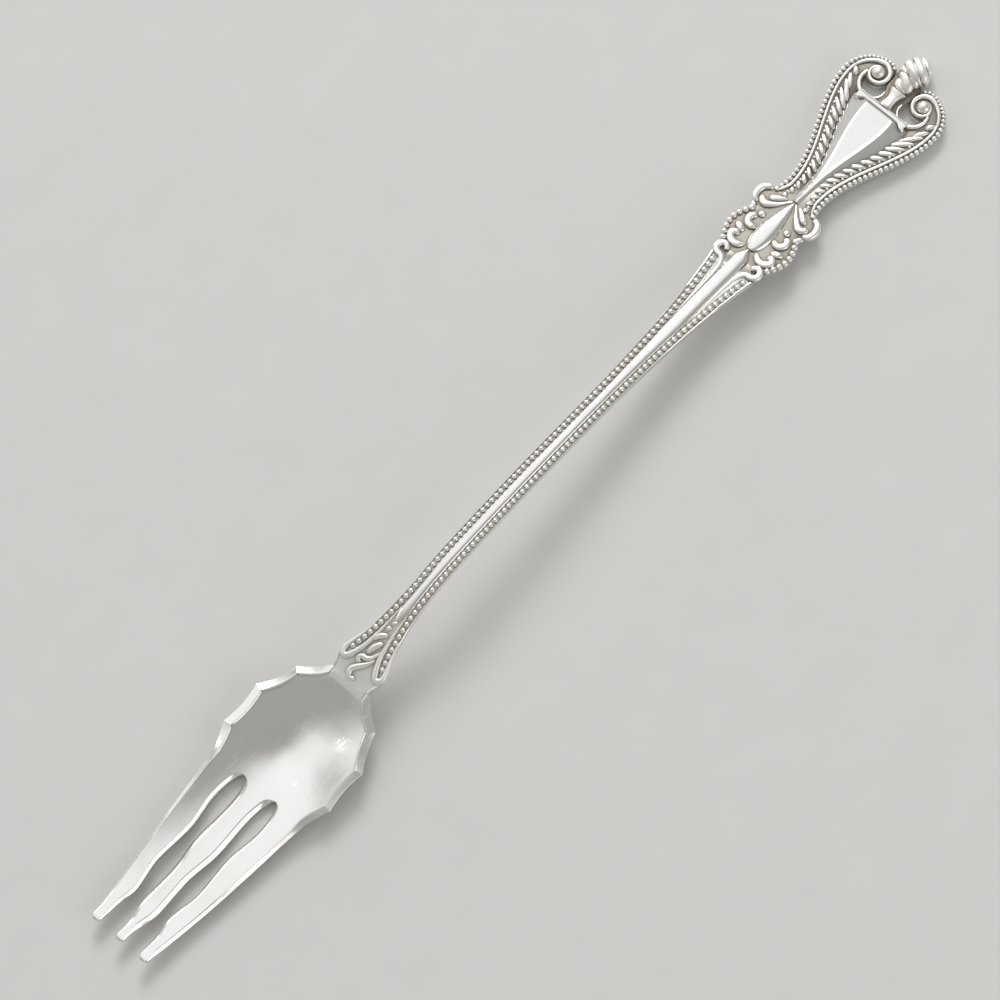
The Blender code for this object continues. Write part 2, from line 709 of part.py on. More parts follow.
def build_cartouche_leaves(material):
    """Two C-scrolls and two drop-shaped leaves on each side, in the field between boss and beads."""
    half = SCROLL_WIDTH / 2
    lower_x = CARTOUCHE_START + LOWER_SCROLL_PLACE * CARTOUCHE_LENGTH
    leaf_x = CARTOUCHE_START + LOWER_LEAF_PLACE * CARTOUCHE_LENGTH
    upper_x = CARTOUCHE_START + UPPER_SCROLL_PLACE * CARTOUCHE_LENGTH
    tip_x = CARTOUCHE_START + UPPER_LEAF_PLACE * CARTOUCHE_LENGTH

    def field(x):
        tip = panel_half(CARTOUCHE_START) if x < leaf_x else 0.0
        low = max(boss_half(x), boss_half(x + half), tip)
        high = cartouche_half(x) - CARTOUCHE_BEAD
        return low + SEAM, high - SEAM

    def c_scroll(x, start, end):
        low, high = field(x)
        radius = min((high - low) / 2 - half - SEAM, LEAF_SCROLL_REACH * CARTOUCHE_LENGTH)
        return arc((x, (low + high) / 2), radius, start, end)

    def drop(x, share):
        low, high = field(x)
        middle = (low + high) / 2
        reach = (high - low) / 2 * share
        lean = LEAF_WIDTH / 3
        return [(x + lean * t, middle + reach * t) for t in steps(-1.0, 1.0, 0.4)]

    lower = c_scroll(lower_x, *LOWER_SCROLL_TURN)
    upper = c_scroll(upper_x, *UPPER_SCROLL_TURN)
    lower_leaf = drop(leaf_x, LOWER_LEAF_REACH)
    upper_leaf = drop(tip_x, UPPER_LEAF_REACH)
    leaf_half = LEAF_WIDTH / 2
    for word, side in SIDES:
        for name, path in (("lower", lower), ("upper", upper)):
            halves = tapered(path, SCROLL_END_SHARE * half, half, SCROLL_END_SHARE * half)
            sweep(name + "_scroll_" + word, mirrored(path, side), halves, halves, material)
        for name, path in (("lower", lower_leaf), ("upper", upper_leaf)):
            halves = tapered(path, LEAF_END_SHARE * leaf_half, leaf_half, LEAF_END_SHARE * leaf_half)
            sweep(name + "_leaf_" + word, mirrored(path, side), halves, halves, material)


def build_side_scrolls(material):
    """S-scrolls that hook over the cartouche's shoulders, and the chevron that runs beside their tails."""
    half = SCROLL_WIDTH / 2
    middle_x = (SIDE_SCROLL_START + TERMINAL_START) / 2
    radius = SIDE_SCROLL_LENGTH / 2 - half - SEAM
    centre_y = SIDE_SCROLL_HALF - radius - half - SEAM
    tail_x = TERMINAL_START - half
    tail_y = half + SEAM
    hook = arc((middle_x, centre_y), radius, *SIDE_HOOK_TURN)
    tail = []
    for t in steps(0.0, 1.0, 0.2)[:-1]:
        tail.append((mix(tail_x, hook[0][0], t), mix(tail_y, hook[0][1], t)))
    path = tail + hook
    halves = tapered(path, SIDE_TAIL_SHARE * half, half, half)
    chevron_start = (TERMINAL_START - SEAM - CHEVRON_WIDTH / 2, tail_y + SCROLL_WIDTH + 2 * CHEVRON_WIDTH)
    chevron_end = (middle_x, centre_y - radius / 4)
    chevron = [chevron_start, chevron_end]
    chevron_halves = [CHEVRON_WIDTH / 2] * 2
    for word, side in SIDES:
        sweep("side_scroll_" + word, mirrored(path, side), halves, halves, material)
        sweep("chevron_" + word, mirrored(chevron, side), chevron_halves, chevron_halves, material)


SHOULDER = TERMINAL_TOP + SHOULDER_LENGTH
VOLUTE_RADIUS = TERMINAL_HALF - VOLUTE_INNER_HALF - VOLUTE_END_RADIUS
VOLUTE_CENTRE = (SHOULDER, TERMINAL_HALF - VOLUTE_RADIUS)
VOLUTE_END_CENTRE = (SHOULDER + VOLUTE_RADIUS - VOLUTE_END_RADIUS, VOLUTE_CENTRE[1])
CURL_CENTRE = (TERMINAL_TOP + EYE_WIDTH + CURL_RADIUS, VOLUTE_INNER_HALF + CURL_RADIUS)


def terminal_half(x):
    """Half width of the heart-shaped terminal, from its waist to its shoulder."""
    waist = TERMINAL_START + TERMINAL_WAIST_AT
    if x < waist:
        return mix(TERMINAL_WAIST_HALF, TERMINAL_START_HALF, ((waist - x) / TERMINAL_WAIST_AT) ** 2)
    return mix(TERMINAL_WAIST_HALF, TERMINAL_HALF, smooth((x - waist) / (SHOULDER - waist)))


def band_depth(x, depth):
    """Distance across the fork taken by a band of one depth along the terminal's slanting edge."""
    slope = (terminal_half(x + SEAM) - terminal_half(x - SEAM)) / (2 * SEAM)
    return depth * math.sqrt(1 + slope * slope)


def husk_width(x):
    return mix(HUSK_START_WIDTH, HUSK_END_WIDTH, smooth((x - TERMINAL_START) / TERMINAL_LENGTH))


FILLET_INSET = TERMINAL_BEAD + SEAM + FILLET_WIDTH / 2
HUSK_INSET = FILLET_INSET + FILLET_WIDTH / 2 + SEAM


def terminal_panel_half(x):
    """Half width of the three-facet panel inside the husk rows."""
    return terminal_half(x) - band_depth(x, HUSK_INSET + husk_width(x) + BEAD_GROOVE)


def build_terminal(material):
    def plate_section(x):
        half = terminal_half(x)
        return [(-half, 0.0), (half, 0.0), (half, HANDLE_THICKNESS), (-half, HANDLE_THICKNESS)]

    def panel_section(x):
        base = HANDLE_THICKNESS + SEAM
        half = terminal_panel_half(x)
        t = (x - panel_start) / (panel_end - panel_start)
        facet = min(mix(2 * SEAM, FACET_TOP_HALF, t), FACET_ROOM_SHARE * half)
        return [
            (-half, base),
            (half, base),
            (half, base + FACET_EDGE_SHARE * FACET_HEIGHT),
            (facet, base + FACET_HEIGHT),
            (0.0, base + FACET_MIDDLE_SHARE * FACET_HEIGHT),
            (-facet, base + FACET_HEIGHT),
            (-half, base + FACET_EDGE_SHARE * FACET_HEIGHT),
        ]

    def bar_section(x):
        base = HANDLE_THICKNESS + SEAM
        t = (x - bar_start) / CROSS_BAR_WIDTH
        top = base + CROSS_BAR_HEIGHT * mix(BAR_EDGE_SHARE, 1.0, math.sin(math.pi * t))
        return [
            (-CROSS_BAR_HALF, base),
            (CROSS_BAR_HALF, base),
            (CROSS_BAR_HALF, top),
            (-CROSS_BAR_HALF, top),
        ]

    bar_start = TERMINAL_TOP - SEAM - CROSS_BAR_WIDTH
    panel_start = TERMINAL_START + TERMINAL_WAIST_AT / 2
    panel_end = bar_start - SEAM
    plate_places = steps(TERMINAL_START, TERMINAL_TOP, PLATE_STEP / 2)
    plate_places[-1] -= SEAM
    loft("terminal", plate_places, plate_section, material)
    loft("terminal_panel", steps(panel_start, panel_end, PLATE_STEP / 2), panel_section, material)
    bar_places = steps(bar_start, bar_start + CROSS_BAR_WIDTH, CROSS_BAR_WIDTH / 4)
    loft("cross_bar", bar_places, bar_section, material)


def terminal_edge(end_angle):
    """Outer edge of the terminal from its foot round the volute to an angle on the volute's arc."""
    outline = [(x, terminal_half(x)) for x in steps(TERMINAL_START + SEAM, SHOULDER, PLATE_STEP / 2)]
    return outline + arc(VOLUTE_CENTRE, VOLUTE_RADIUS, 90, end_angle)[1:]


def build_terminal_borders(material):
    """Bead border, smooth fillet and row of husks along each side of the terminal."""
    bead_line = inset(terminal_edge(BEAD_BORDER_END), TERMINAL_BEAD / 2)
    beads, bead_halves = bead_row(bead_line, lambda x: TERMINAL_BEAD)
    fillet = inset(terminal_edge(FILLET_BORDER_END), FILLET_INSET)
    fillet_halves = [FILLET_WIDTH / 2] * len(fillet)
    for word, side in SIDES:
        sweep("terminal_beads_" + word, mirrored(beads, side), bead_halves, bead_halves, material)
        sweep("terminal_fillet_" + word, mirrored(fillet, side), fillet_halves, fillet_halves, material)

    def husk_line(x):
        slope = (terminal_half(x + SEAM) - terminal_half(x - SEAM)) / (2 * SEAM)
        run = math.hypot(1.0, slope)
        depth = HUSK_INSET + husk_width(x) / 2
        return x + depth * slope / run, terminal_half(x) - depth / run

    x = TERMINAL_START + TERMINAL_WAIST_AT / 2
    husks = []
    halves = []
    while husk_line(x)[0] < TERMINAL_TOP:
        husks.append(husk_line(x))
        fullness = 1.0 if len(husks) % 2 == 0 else HUSK_NECK_SHARE
        halves.append(husk_width(x) / 2 * fullness)
        t = (x - TERMINAL_START) / TERMINAL_LENGTH
        x += mix(HUSK_START_PITCH, HUSK_END_PITCH, t) / 2
    rises = [min(half, SCROLL_WIDTH / 2) for half in halves]
    for word, side in SIDES:
        sweep("husks_" + word, mirrored(husks, side), halves, rises, material)


def volute_outline():
    """Plan of one volute: the arm that leaves the shoulder, its rounded end and the curl beside the eye."""
    start = TERMINAL_TOP
    outline = [(start, EYE_OUTER_HALF), (start, terminal_half(start)), (SHOULDER, TERMINAL_HALF)]
    outline += arc(VOLUTE_CENTRE, VOLUTE_RADIUS, 90, 0)[1:]
    outline += arc(VOLUTE_END_CENTRE, VOLUTE_END_RADIUS, 0, -90)[1:]
    outline += arc(CURL_CENTRE, CURL_RADIUS, -90, VOLUTE_EYE_END)
    return outline


def prism(name, outline, top, material):
    """Upright block on the level part of the back, from its plan outline."""
    mesh = bmesh.new()
    under = [mesh.verts.new(place(x, y, 0.0)) for x, y in outline]
    over = [mesh.verts.new(place(x, y, top)) for x, y in outline]
    mesh.faces.new(under)
    mesh.faces.new(over)
    for i in range(len(outline)):
        j = (i + 1) % len(outline)
        mesh.faces.new((under[i], under[j], over[j], over[i]))
    return make_object(name, mesh, material)


def build_volutes(material):
    """Pierced volutes: a plate, the curling fillet on it and the ball at the fillet's end."""
    half = CURL_WIDTH / 2
    line_inset = half + SEAM
    path = arc(VOLUTE_CENTRE, VOLUTE_RADIUS - line_inset, VOLUTE_CURL_START, 0)
    path += arc(VOLUTE_END_CENTRE, VOLUTE_END_RADIUS - line_inset, 0, -90)[1:]
    path += arc(CURL_CENTRE, CURL_RADIUS - line_inset, -90, VOLUTE_CURL_END, BALL_RADIUS + half + SEAM)
    halves = tapered(path, half, half, CURL_END_SHARE * half)
    ball_path = [(CURL_CENTRE[0] + BALL_RADIUS * math.sin(angle), CURL_CENTRE[1]) for angle in BALL_ANGLES]
    ball_halves = [BALL_RADIUS * math.cos(angle) for angle in BALL_ANGLES]
    for word, side in SIDES:
        prism("volute_" + word, mirrored(volute_outline(), side), HANDLE_THICKNESS, material)
        sweep("volute_curl_" + word, mirrored(path, side), halves, halves, material)
        sweep("volute_ball_" + word, mirrored(ball_path, side), ball_halves, ball_halves, material)


def build_finial(material):
    """Yoke between the volutes, with the pedestal and collar on it and the ribbed flame at its end."""
    eye_end = TERMINAL_TOP + EYE_WIDTH + CURL_RADIUS / 2
    yoke_half = VOLUTE_INNER_HALF - SEAM
    yoke_end = FINIAL_START - SEAM
    half_plan = [(TERMINAL_TOP, EYE_INNER_HALF), (eye_end, EYE_INNER_HALF)]
    half_plan += [(COLLAR_START, yoke_half), (yoke_end, yoke_half)]
    plan = half_plan + [(x, -y) for x, y in reversed(half_plan)]
    prism("finial_yoke", plan, HANDLE_THICKNESS, material)

    base = HANDLE_THICKNESS + SEAM
    pedestal_start = TERMINAL_TOP + SEAM
    pedestal_end = COLLAR_START - SEAM

    def pedestal_section(x):
        t = (x - pedestal_start) / (pedestal_end - pedestal_start)
        half = PEDESTAL_HALF * (1 - PEDESTAL_WAIST_SHARE * math.sin(math.pi * t))
        return [
            (-half, base),
            (half, base),
            (PEDESTAL_TOP_SHARE * half, base + PEDESTAL_HEIGHT),
            (-PEDESTAL_TOP_SHARE * half, base + PEDESTAL_HEIGHT),
        ]

    def collar_section(x):
        t = (x - COLLAR_START) / (yoke_end - COLLAR_START)
        swell = mix(COLLAR_WAIST_SHARE, 1.0, math.cos(math.pi * t) ** 2)
        half = COLLAR_HALF * swell
        rise = COLLAR_HEIGHT * swell
        return [(half * across, base + rise * up) for across, up in HALF_ROUND]

    loft("pedestal", steps(pedestal_start, pedestal_end, PEDESTAL_LENGTH / 4), pedestal_section, material)
    loft("finial_collar", steps(COLLAR_START, yoke_end, COLLAR_LENGTH / 8), collar_section, material)

    def finial_section(x):
        t = (x - FINIAL_START) / FINIAL_LENGTH
        girth = math.sqrt(max(0.0, 1 - ((t - FINIAL_WIDEST) / FINIAL_SPAN) ** 2))
        ring = []
        for angle in steps(0.0, 2 * math.pi, 2 * math.pi / FINIAL_FACETS)[:-1]:
            rib = RIB_DEPTH * (1 - abs(math.sin((FINIAL_RIBS * (angle + FINIAL_TWIST * t)) / 2)))
            across = (FINIAL_HALF - rib) * girth * math.cos(angle)
            up = (FINIAL_HALF_HEIGHT - rib) * girth * math.sin(angle)
            ring.append((across, FINIAL_HALF_HEIGHT + up))
        return ring

    loft("finial", steps(FINIAL_START, LENGTH, FINIAL_LENGTH / 9), finial_section, material)


def main():
    for old in list(bpy.data.objects):
        bpy.data.objects.remove(old)
    bpy.context.collection.objects.link(bpy.data.objects.new("fork", None))
    polished = make_material("polished_silver", (0.88, 0.87, 0.84), 0.12)
    struck = make_material("struck_silver", (0.82, 0.8, 0.76), 0.24)
    beads = make_material("beaded_silver", (0.85, 0.84, 0.8), 0.18)
    build_tines(polished)
    build_bowl(polished)
    build_stem(polished)
    build_stem_beads(beads)
    build_neck(struck)
    build_stem_scrolls(struck)
    build_cartouche(polished)
    build_cartouche_beads(beads)
    build_cartouche_leaves(struck)
    build_side_scrolls(struck)
    build_terminal(polished)
    build_terminal_borders(beads)
    build_volutes(struck)
    build_finial(polished)


main()
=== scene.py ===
"""Looks of the cocktail fork: fine silver surfaces over its solids, with a floor, soft light and a camera.

Every piece is laid out flat, in millimetres along the fork from its tine tips (x), across it (y) and above
its back (h), and is then set to the arched profile. The left side is +y.
"""

import json
from math import atan2, ceil, copysign, cos, degrees, hypot, pi, radians, sin, sqrt

import bmesh
import bpy
from mathutils import Matrix, Vector


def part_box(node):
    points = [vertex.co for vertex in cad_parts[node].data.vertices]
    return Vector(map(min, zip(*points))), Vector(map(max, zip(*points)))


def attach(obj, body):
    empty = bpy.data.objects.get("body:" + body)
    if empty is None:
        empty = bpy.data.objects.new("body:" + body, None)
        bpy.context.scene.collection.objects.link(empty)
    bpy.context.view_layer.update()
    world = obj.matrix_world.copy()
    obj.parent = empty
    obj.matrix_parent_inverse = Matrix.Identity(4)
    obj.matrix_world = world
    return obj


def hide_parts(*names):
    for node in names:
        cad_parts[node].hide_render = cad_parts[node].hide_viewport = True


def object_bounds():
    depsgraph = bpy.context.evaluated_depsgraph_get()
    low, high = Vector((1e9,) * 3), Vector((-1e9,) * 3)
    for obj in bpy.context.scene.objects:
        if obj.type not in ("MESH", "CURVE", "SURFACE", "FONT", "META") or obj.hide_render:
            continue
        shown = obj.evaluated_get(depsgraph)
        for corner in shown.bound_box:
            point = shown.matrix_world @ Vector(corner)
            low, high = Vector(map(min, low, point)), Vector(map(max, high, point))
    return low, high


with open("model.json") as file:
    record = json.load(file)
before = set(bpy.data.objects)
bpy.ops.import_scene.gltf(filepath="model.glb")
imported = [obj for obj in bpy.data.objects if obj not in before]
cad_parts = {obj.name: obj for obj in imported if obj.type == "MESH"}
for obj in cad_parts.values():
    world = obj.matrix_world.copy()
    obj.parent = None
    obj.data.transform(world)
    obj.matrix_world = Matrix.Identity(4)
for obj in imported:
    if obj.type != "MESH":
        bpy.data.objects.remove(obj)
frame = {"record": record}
cad_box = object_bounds()

MM = 0.001
TIPS = Vector((cad_box[0].x, 0.0, 0.0))


def span(node):
    """Lowest and highest corner of a solid, in the layout's millimetres."""
    low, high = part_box(node)
    return (low - TIPS) / MM, (high - TIPS) / MM


def meeting(before, after):
    """Place along the fork where one solid ends and the next one starts."""
    return (span(before)[1].x + span(after)[0].x) / 2


# Where each part starts along the fork, and other places, from the solids
BOWL = meeting("tine_middle", "bowl")
NECK = meeting("bowl", "stem")
CARTOUCHE = meeting("stem", "cartouche")
TERMINAL = meeting("cartouche", "terminal")
YOKE = meeting("terminal", "finial_yoke")
COLLAR = span("finial_collar")[0].x
FINIAL = meeting("finial_yoke", "finial")
LENGTH = span("finial")[1].x
PANEL_START = span("stem_panel")[0].x
PANEL_TIP = span("stem_panel")[1].x

# Half widths and heights, from the solids
BOWL_HALF = span("bowl")[1].y
STEM_TOP_HALF = span("stem")[1].y
CARTOUCHE_HALF = span("cartouche")[1].y
TERMINAL_HALF = span("volute_left")[1].y
BAR_HALF = span("cross_bar")[1].y - 0.15
FINIAL_HALF = span("finial")[1].y
FINIAL_HALF_HEIGHT = span("finial")[1].z / 2
THICKNESS = span("finial_yoke")[1].z
ARCH_RISE = span("stem")[1].z - THICKNESS

# Profile: the back touches the table under the bowl and under the terminal
TIP_RISE = 1.7
BELLY = 27.0
CREST = 62.0
DISH_DEPTH = 1.8
DEEPEST = 31.0
DISH_POWER = 2.0
HOLLOW_DEPTH = 0.6
HOLLOW_START = 25.5
HOLLOW_END = 40.4

# Tines, as half widths or offsets at places along them
TIP_HALF = 4.45
ROOT_HALF = 7.4
TIP_THICKNESS = 0.6
BOWL_THICKNESS = 1.1
THICKENING_RUN = 16.0
TIP_ROUND = 0.5
TIP_END_SHARE = 0.28
TIP_TAPER = 0.6
TIP_END_TAPER = 0.2
MIDDLE_TINE = [(0.0, 0.55), (1.0, 0.6), (5.7, 1.38), (10.5, 1.22), (15.7, 1.74), (20.8, 1.55)]
OUTER_TINE = [(0.0, 3.25), (3.0, 3.1), (5.8, 2.67), (10.5, 3.3), (15.8, 3.02), (20.8, 3.57)]
TINE_BOW = 0.2
SLOT_END = 2.6
SLOT_ROUND = 20.8
TINE_BEVEL = 0.65
TINE_BEVEL_DEPTH = 0.41
TIP_BEVEL_SHARE = 0.25
TIP_BEVEL_RUN = 3.0
MOST_BEVEL_SHARE = 0.7
LEAST_BEVEL = 0.002
FULL_BEVEL_SLOT = 1.2
OUTER_BEVEL_SHARE = 0.65
BACK_BEVEL_SHARE = 0.5
BACK_DEPTH_SHARE = 0.8
BEVEL_SHAPE = [(0.0, 1.0), (0.04, 0.86), (0.9, 0.06), (0.97, 0.01), (1.0, 0.0), (1.05, 0.0)]

# Bowl outline: corners of its lobes, and how far each run between them sags inwards
NECK_HALF = 2.9
LOBE_END = 34.0
CORNERS = [(BOWL, ROOT_HALF), (28.1, BOWL_HALF), (LOBE_END, BOWL_HALF), (38.8, 6.48), (NECK, NECK_HALF)]
SAGS = [0.05, 0.32, 0.3, 0.25]
CORNER_GAP = 0.01

# Rim of the bowl, with its section as shares of its width and height
RIM_WIDTH = 1.1
RIM_TINE_WIDTH = 0.5
RIM_WIDENS = (BOWL - 3.0, BOWL + 3.0)
RIM_HEIGHT = 0.3
RIM_TINE_SHARE = 0.5
RIM_SWELLS = (BOWL - 5.0, BOWL + 3.0)
RIM_START = 9.0
RIM_RISEN = 15.0
RIM_START_DIP = 0.04
RIM_END_RUN = 1.1
RIM_END_SHARE = 0.3
RIM_FALL = TINE_BEVEL_DEPTH * RIM_TINE_WIDTH / TINE_BEVEL
RIM_FALL_END = 1.5
RIM_SECTION = [(0.06, -1.2), (0.0, -0.1), (0.0, 0.2), (0.03, 0.3), (0.3, 0.56), (0.6, 0.8), (0.8, 0.95),
               (0.88, 0.98), (0.95, 0.86), (1.0, 0.5), (1.03, 0.0), (1.0, -1.2)]

# Backs of the plates: height of the edge as a share of the thickness, and how sharply they turn up to it
BOWL_BACK = (0.3, 0.3)
STEM_BACK = (0.55, 0.7)
CARTOUCHE_BACK = (0.5, 0.5)
TERMINAL_BACK = (0.25, 0.2)

# Stem, whose beads and edges have widths at its middle, at the neck and at its top
LOOP_X = NECK + 2.0
LOOP_HALF = 3.4
STEM_HALF = 1.45
NECK_TAPER = 14.3
NECK_TAPER_POWER = 2.6
TOP_FLARE = 38.3
TOP_FLARE_POWER = 3.5
STEM_BEADS = (0.68, 0.73, 0.78)
STEM_EDGES = (0.1, 0.3, 0.45)
BEAD_GROOVE = 0.05
BEAD_SPACING = 1.198
PANEL_TOP_HALF = 0.95
PANEL_RISE = 0.24
PANEL_OPEN = PANEL_START + 3.0
CHANNEL_DEPTH = 0.1
CHANNEL_RUN = 1.5
STEM_FALL = 2.2

# Cartouche
FIELD = THICKNESS - 0.28
BURIED = FIELD - 0.2
BEAD_BASE = FIELD + 0.05
EDGE_ROUND = 0.3
CARTOUCHE_LENGTH = 6.9
CARTOUCHE_END_HALF = 3.6
CARTOUCHE_INSET = 0.12
CARTOUCHE_END_RUN = 0.6
CARTOUCHE_BEAD = 0.86
CARTOUCHE_PITCH = 0.83
SIDE_SCROLL = CARTOUCHE + CARTOUCHE_LENGTH
BOSS_HALF = 1.35
BOSS_RISE = 0.42

# Terminal
TERMINAL_END_HALF = 3.3
WAIST_HALF = 2.95
WAIST_AT = 2.2
TERMINAL_INSET = 0.1
TERMINAL_BEAD = 0.7
VOLUTE_BEAD_SHARE = 0.75
BORDER_PITCH = 0.72
FILLET_WIDTH = 0.4
FACET_WIDENS = (TERMINAL + 4.2, YOKE - 1.8)
FACET_HALF = (0.08, 1.87)
FACET_BEVEL = 0.3
BEVEL_SLOPE = 0.68
SIDE_FACET_SLOPE = 0.4
PANEL_FOOT = TERMINAL + 0.3
PANEL_FOOT_END = TERMINAL + 6.3
PANEL_FOOT_SHARE = 0.3
PANEL_LIFT = 0.06
PANEL_LAP = 0.1
PANEL_SINK = 0.18
SINK_FADES = (YOKE - 3.3, YOKE - 0.8)
SINK_FADE_SHARE = 0.3
RECESS_SHARE = 1.3
RECESS_SIDE = 0.25
BAR_START = YOKE - 0.82
BAR_FLARE = 0.5
HUSK_PITCH = (0.95, 1.6)
HUSK_HALF = (0.27, 0.33)
HUSK_WIDTH = [(TERMINAL, 0.55), (TERMINAL + 7.0, 1.3), (TERMINAL + 11.5, 1.4),
              (YOKE, 2.15), (YOKE + 2.2, 0.9)]
HUSK_INSET = TERMINAL_BEAD + FILLET_WIDTH + 0.1
HUSK_SHAPE = ((0.08, 0.5), (0.35, 0.95), (0.65, 1.0), (0.92, 0.5))
HUSK_LEAN = 1.4
HUSK_BEAD = 0.22
HUSK_CLOSING = YOKE - 1.5
HUSK_CLOSE_SHARE = 0.66

# Volutes and yoke
SHOULDER = YOKE + 1.0
PLATE_LAP = 0.6
PLATE_TOP = FIELD - 0.004
EYE_OUTER_HALF = 4.7
EYE_MIDDLE = 3.0
EYE_SPLIT = 0.2
INNER_EYE = (YOKE + 1.4, EYE_MIDDLE - EYE_SPLIT)
YOKE_WAIST = 1.55
YOKE_HALF = 1.9
VOLUTE_INNER_HALF = 1.95
VOLUTE_END_RADIUS = 1.3
VOLUTE_RADIUS = TERMINAL_HALF - VOLUTE_INNER_HALF - VOLUTE_END_RADIUS
VOLUTE = (SHOULDER, TERMINAL_HALF - VOLUTE_RADIUS)
VOLUTE_END = (SHOULDER + VOLUTE_RADIUS - VOLUTE_END_RADIUS, VOLUTE[1])
CURL_RADIUS = 1.7
CURL_BAND = 0.33
CURL = (YOKE + 1.35 + CURL_RADIUS, VOLUTE_INNER_HALF + CURL_RADIUS)
CURL_END = -220
CURL_TURN = 400
BALL_RADIUS = 0.9
EYE_REACH = CURL[0] + CURL_RADIUS * cos(radians(CURL_END)) - YOKE
EYE_RIM = 0.32
INNER_EYE_RIM = 0.18
RIM_STROKE = 1.2

# Pedestal, collar and finial
PEDESTAL_HALF = (0.85, 1.15)
PEDESTAL_WAIST = 0.34
PEDESTAL_RISE = (0.95, 0.75)
COLLAR_HALF = (1.1, 1.55)
COLLAR_FLATNESS = 0.8
COLLAR_RIB_DEPTH = 0.28
FINIAL_SWELL = 0.25
FINIAL_FOOT = 0.84
RIB_START = FINIAL + 1.25
RIB_PITCH = 1.35
RIB_LEAN = 0.5
RIB_DEPTH = 0.36

SIDES = (("left", 1), ("right", -1))
BEAD_LATITUDES = [radians(angle) for angle in (-20, 0, 18, 35, 50, 65, 80)]
BEAD_TURNS = [2 * pi * i / 14 for i in range(14)]
BEAD_FLATNESS = 0.85
STROKE_POWER = 2.7


def smooth(t):
    """Ease from 0 to 1 with level ends."""
    t = min(max(t, 0.0), 1.0)
    return t * t * (3 - 2 * t)


def ease(x, start, end):
    """Ease from 0 to 1 between two places."""
    return smooth((x - start) / (end - start))


def rounding(t):
    """Rise from 0 to 1 on a quarter circle, and stay there."""
    return sqrt(1 - max(0.0, 1 - t) ** 2)


def mix(start, end, t):
    return start + (end - start) * t


def squared(value, power):
    """Bend a sine or cosine so that they draw a squarer round for a higher power."""
    return copysign(abs(value) ** (2 / power), value)


def steps(start, end, spacing):
    """Evenly spaced places from start to end, no further apart than spacing."""
    count = max(1, ceil(abs(end - start) / spacing))
    return [mix(start, end, i / count) for i in range(count + 1)]


def turns(start, end, spacing):
    """Angles from start to end in radians, given in whole degrees."""
    return [radians(angle) for angle in range(start, end + 1, spacing)]


def track(points, x):
    """Value at x on a wavy line that is level at each of its points."""
    for (x0, value0), (x1, value1) in zip(points, points[1:]):
        if x <= x1:
            return mix(value0, value1, ease(x, x0, x1))
    return points[-1][1]


def back_line(x):
    """Height of the fork's back above the table, along its middle line."""
    if x < BELLY:
        return TIP_RISE * ((BELLY - x) / BELLY) ** 2
    return ARCH_RISE * ease(x, BELLY, CREST) * (1 - ease(x, CREST, YOKE))


def dish(x, y):
    """Rise of the tines and the bowl towards their sides."""
    depth = ease(x, 0.0, DEEPEST) * (1 - ease(x, DEEPEST, NECK))
    return DISH_DEPTH * depth * abs(y / BOWL_HALF) ** DISH_POWER


def place(x, y, h):
    """Set a flat-laid point to the fork's profile, in metres."""
    return TIPS + Vector((x, y, back_line(x) + dish(x, y) + h)) * MM


def skin(mesh, rings):
    """Join closed rings of laid-out points in order, and cap both ends with a flat face."""
    loops = [[mesh.verts.new(place(*point)) for point in ring] for ring in rings]
    count = len(loops[0])
    for near, far in zip(loops, loops[1:]):
        for i in range(count):
            j = (i + 1) % count
            mesh.faces.new((near[i], near[j], far[j], far[i])).smooth = True
    mesh.faces.new(loops[0])
    mesh.faces.new(loops[-1])


def new_object(name, data):
    """Put a new object into the scene."""
    made = bpy.data.objects.new(name, data)
    bpy.context.scene.collection.objects.link(made)
    return made


def dress(node, bodies, sharp=40):
    """Make the fine piece that stands for a solid, from bodies given as lists of rings."""
    mesh = bmesh.new()
    for rings in bodies:
        skin(mesh, rings)
    bmesh.ops.recalc_face_normals(mesh, faces=mesh.faces)
    data = bpy.data.meshes.new("fine_" + node)
    mesh.to_mesh(data)
    mesh.free()
    data.set_sharp_from_angle(angle=radians(sharp))
    piece = new_object("fine_" + node, data)
    slot = SLOTS[node]
    data.materials.append(MATERIALS[LOOKS.get(node, slot)])
    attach(piece, "root")
    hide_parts(node)


def dress_pair(name, bodies, sharp=40):
    """Make a left piece, and its mirror image on the right."""
    for word, side in SIDES:
        turned = [[[(x, side * y, h) for x, y, h in ring] for ring in rings] for rings in bodies]
        dress(name + "_" + word, turned, sharp)


def normal_at(path, i):
    """Unit normal, to the left of travel, of a plan path at one of its points."""
    ahead = path[min(i + 1, len(path) - 1)]
    behind = path[max(i - 1, 0)]
    dx = ahead[0] - behind[0]
    dy = ahead[1] - behind[1]
    length = hypot(dx, dy)
    return -dy / length, dx / length


def curve(points, count, start=0.0):
    """Smooth curve through points laid out from start, with samples drawn together at its ends."""
    points = [(start + x, y, half) for x, y, half in points]
    last = len(points) - 1
    samples = []
    for i in range(count + 1):
        t = last * (1 - cos(pi * i / count)) / 2
        k = min(int(t), last - 1)
        f = t - k
        knots = [points[min(max(k + shift, 0), last)] for shift in (-1, 0, 1, 2)]
        sample = []
        for a, b, c, d in zip(*knots):
            bend = (3 * (b - c) + d - a) * f + 2 * a - 5 * b + 4 * c - d
            sample.append(b + f / 2 * (c - a + bend * f))
        samples.append(tuple(sample))
    return samples


def arc(centre, radii, start, end, halves):
    """Stroke samples on an arc or a spiral, between two radii, angles in degrees and half widths."""
    samples = []
    for angle in steps(start, end, 6):
        t = (angle - start) / (end - start)
        reach = mix(*radii, t)
        turn = radians(angle)
        samples.append((centre[0] + reach * cos(turn), centre[1] + reach * sin(turn), mix(*halves, t)))
    return samples


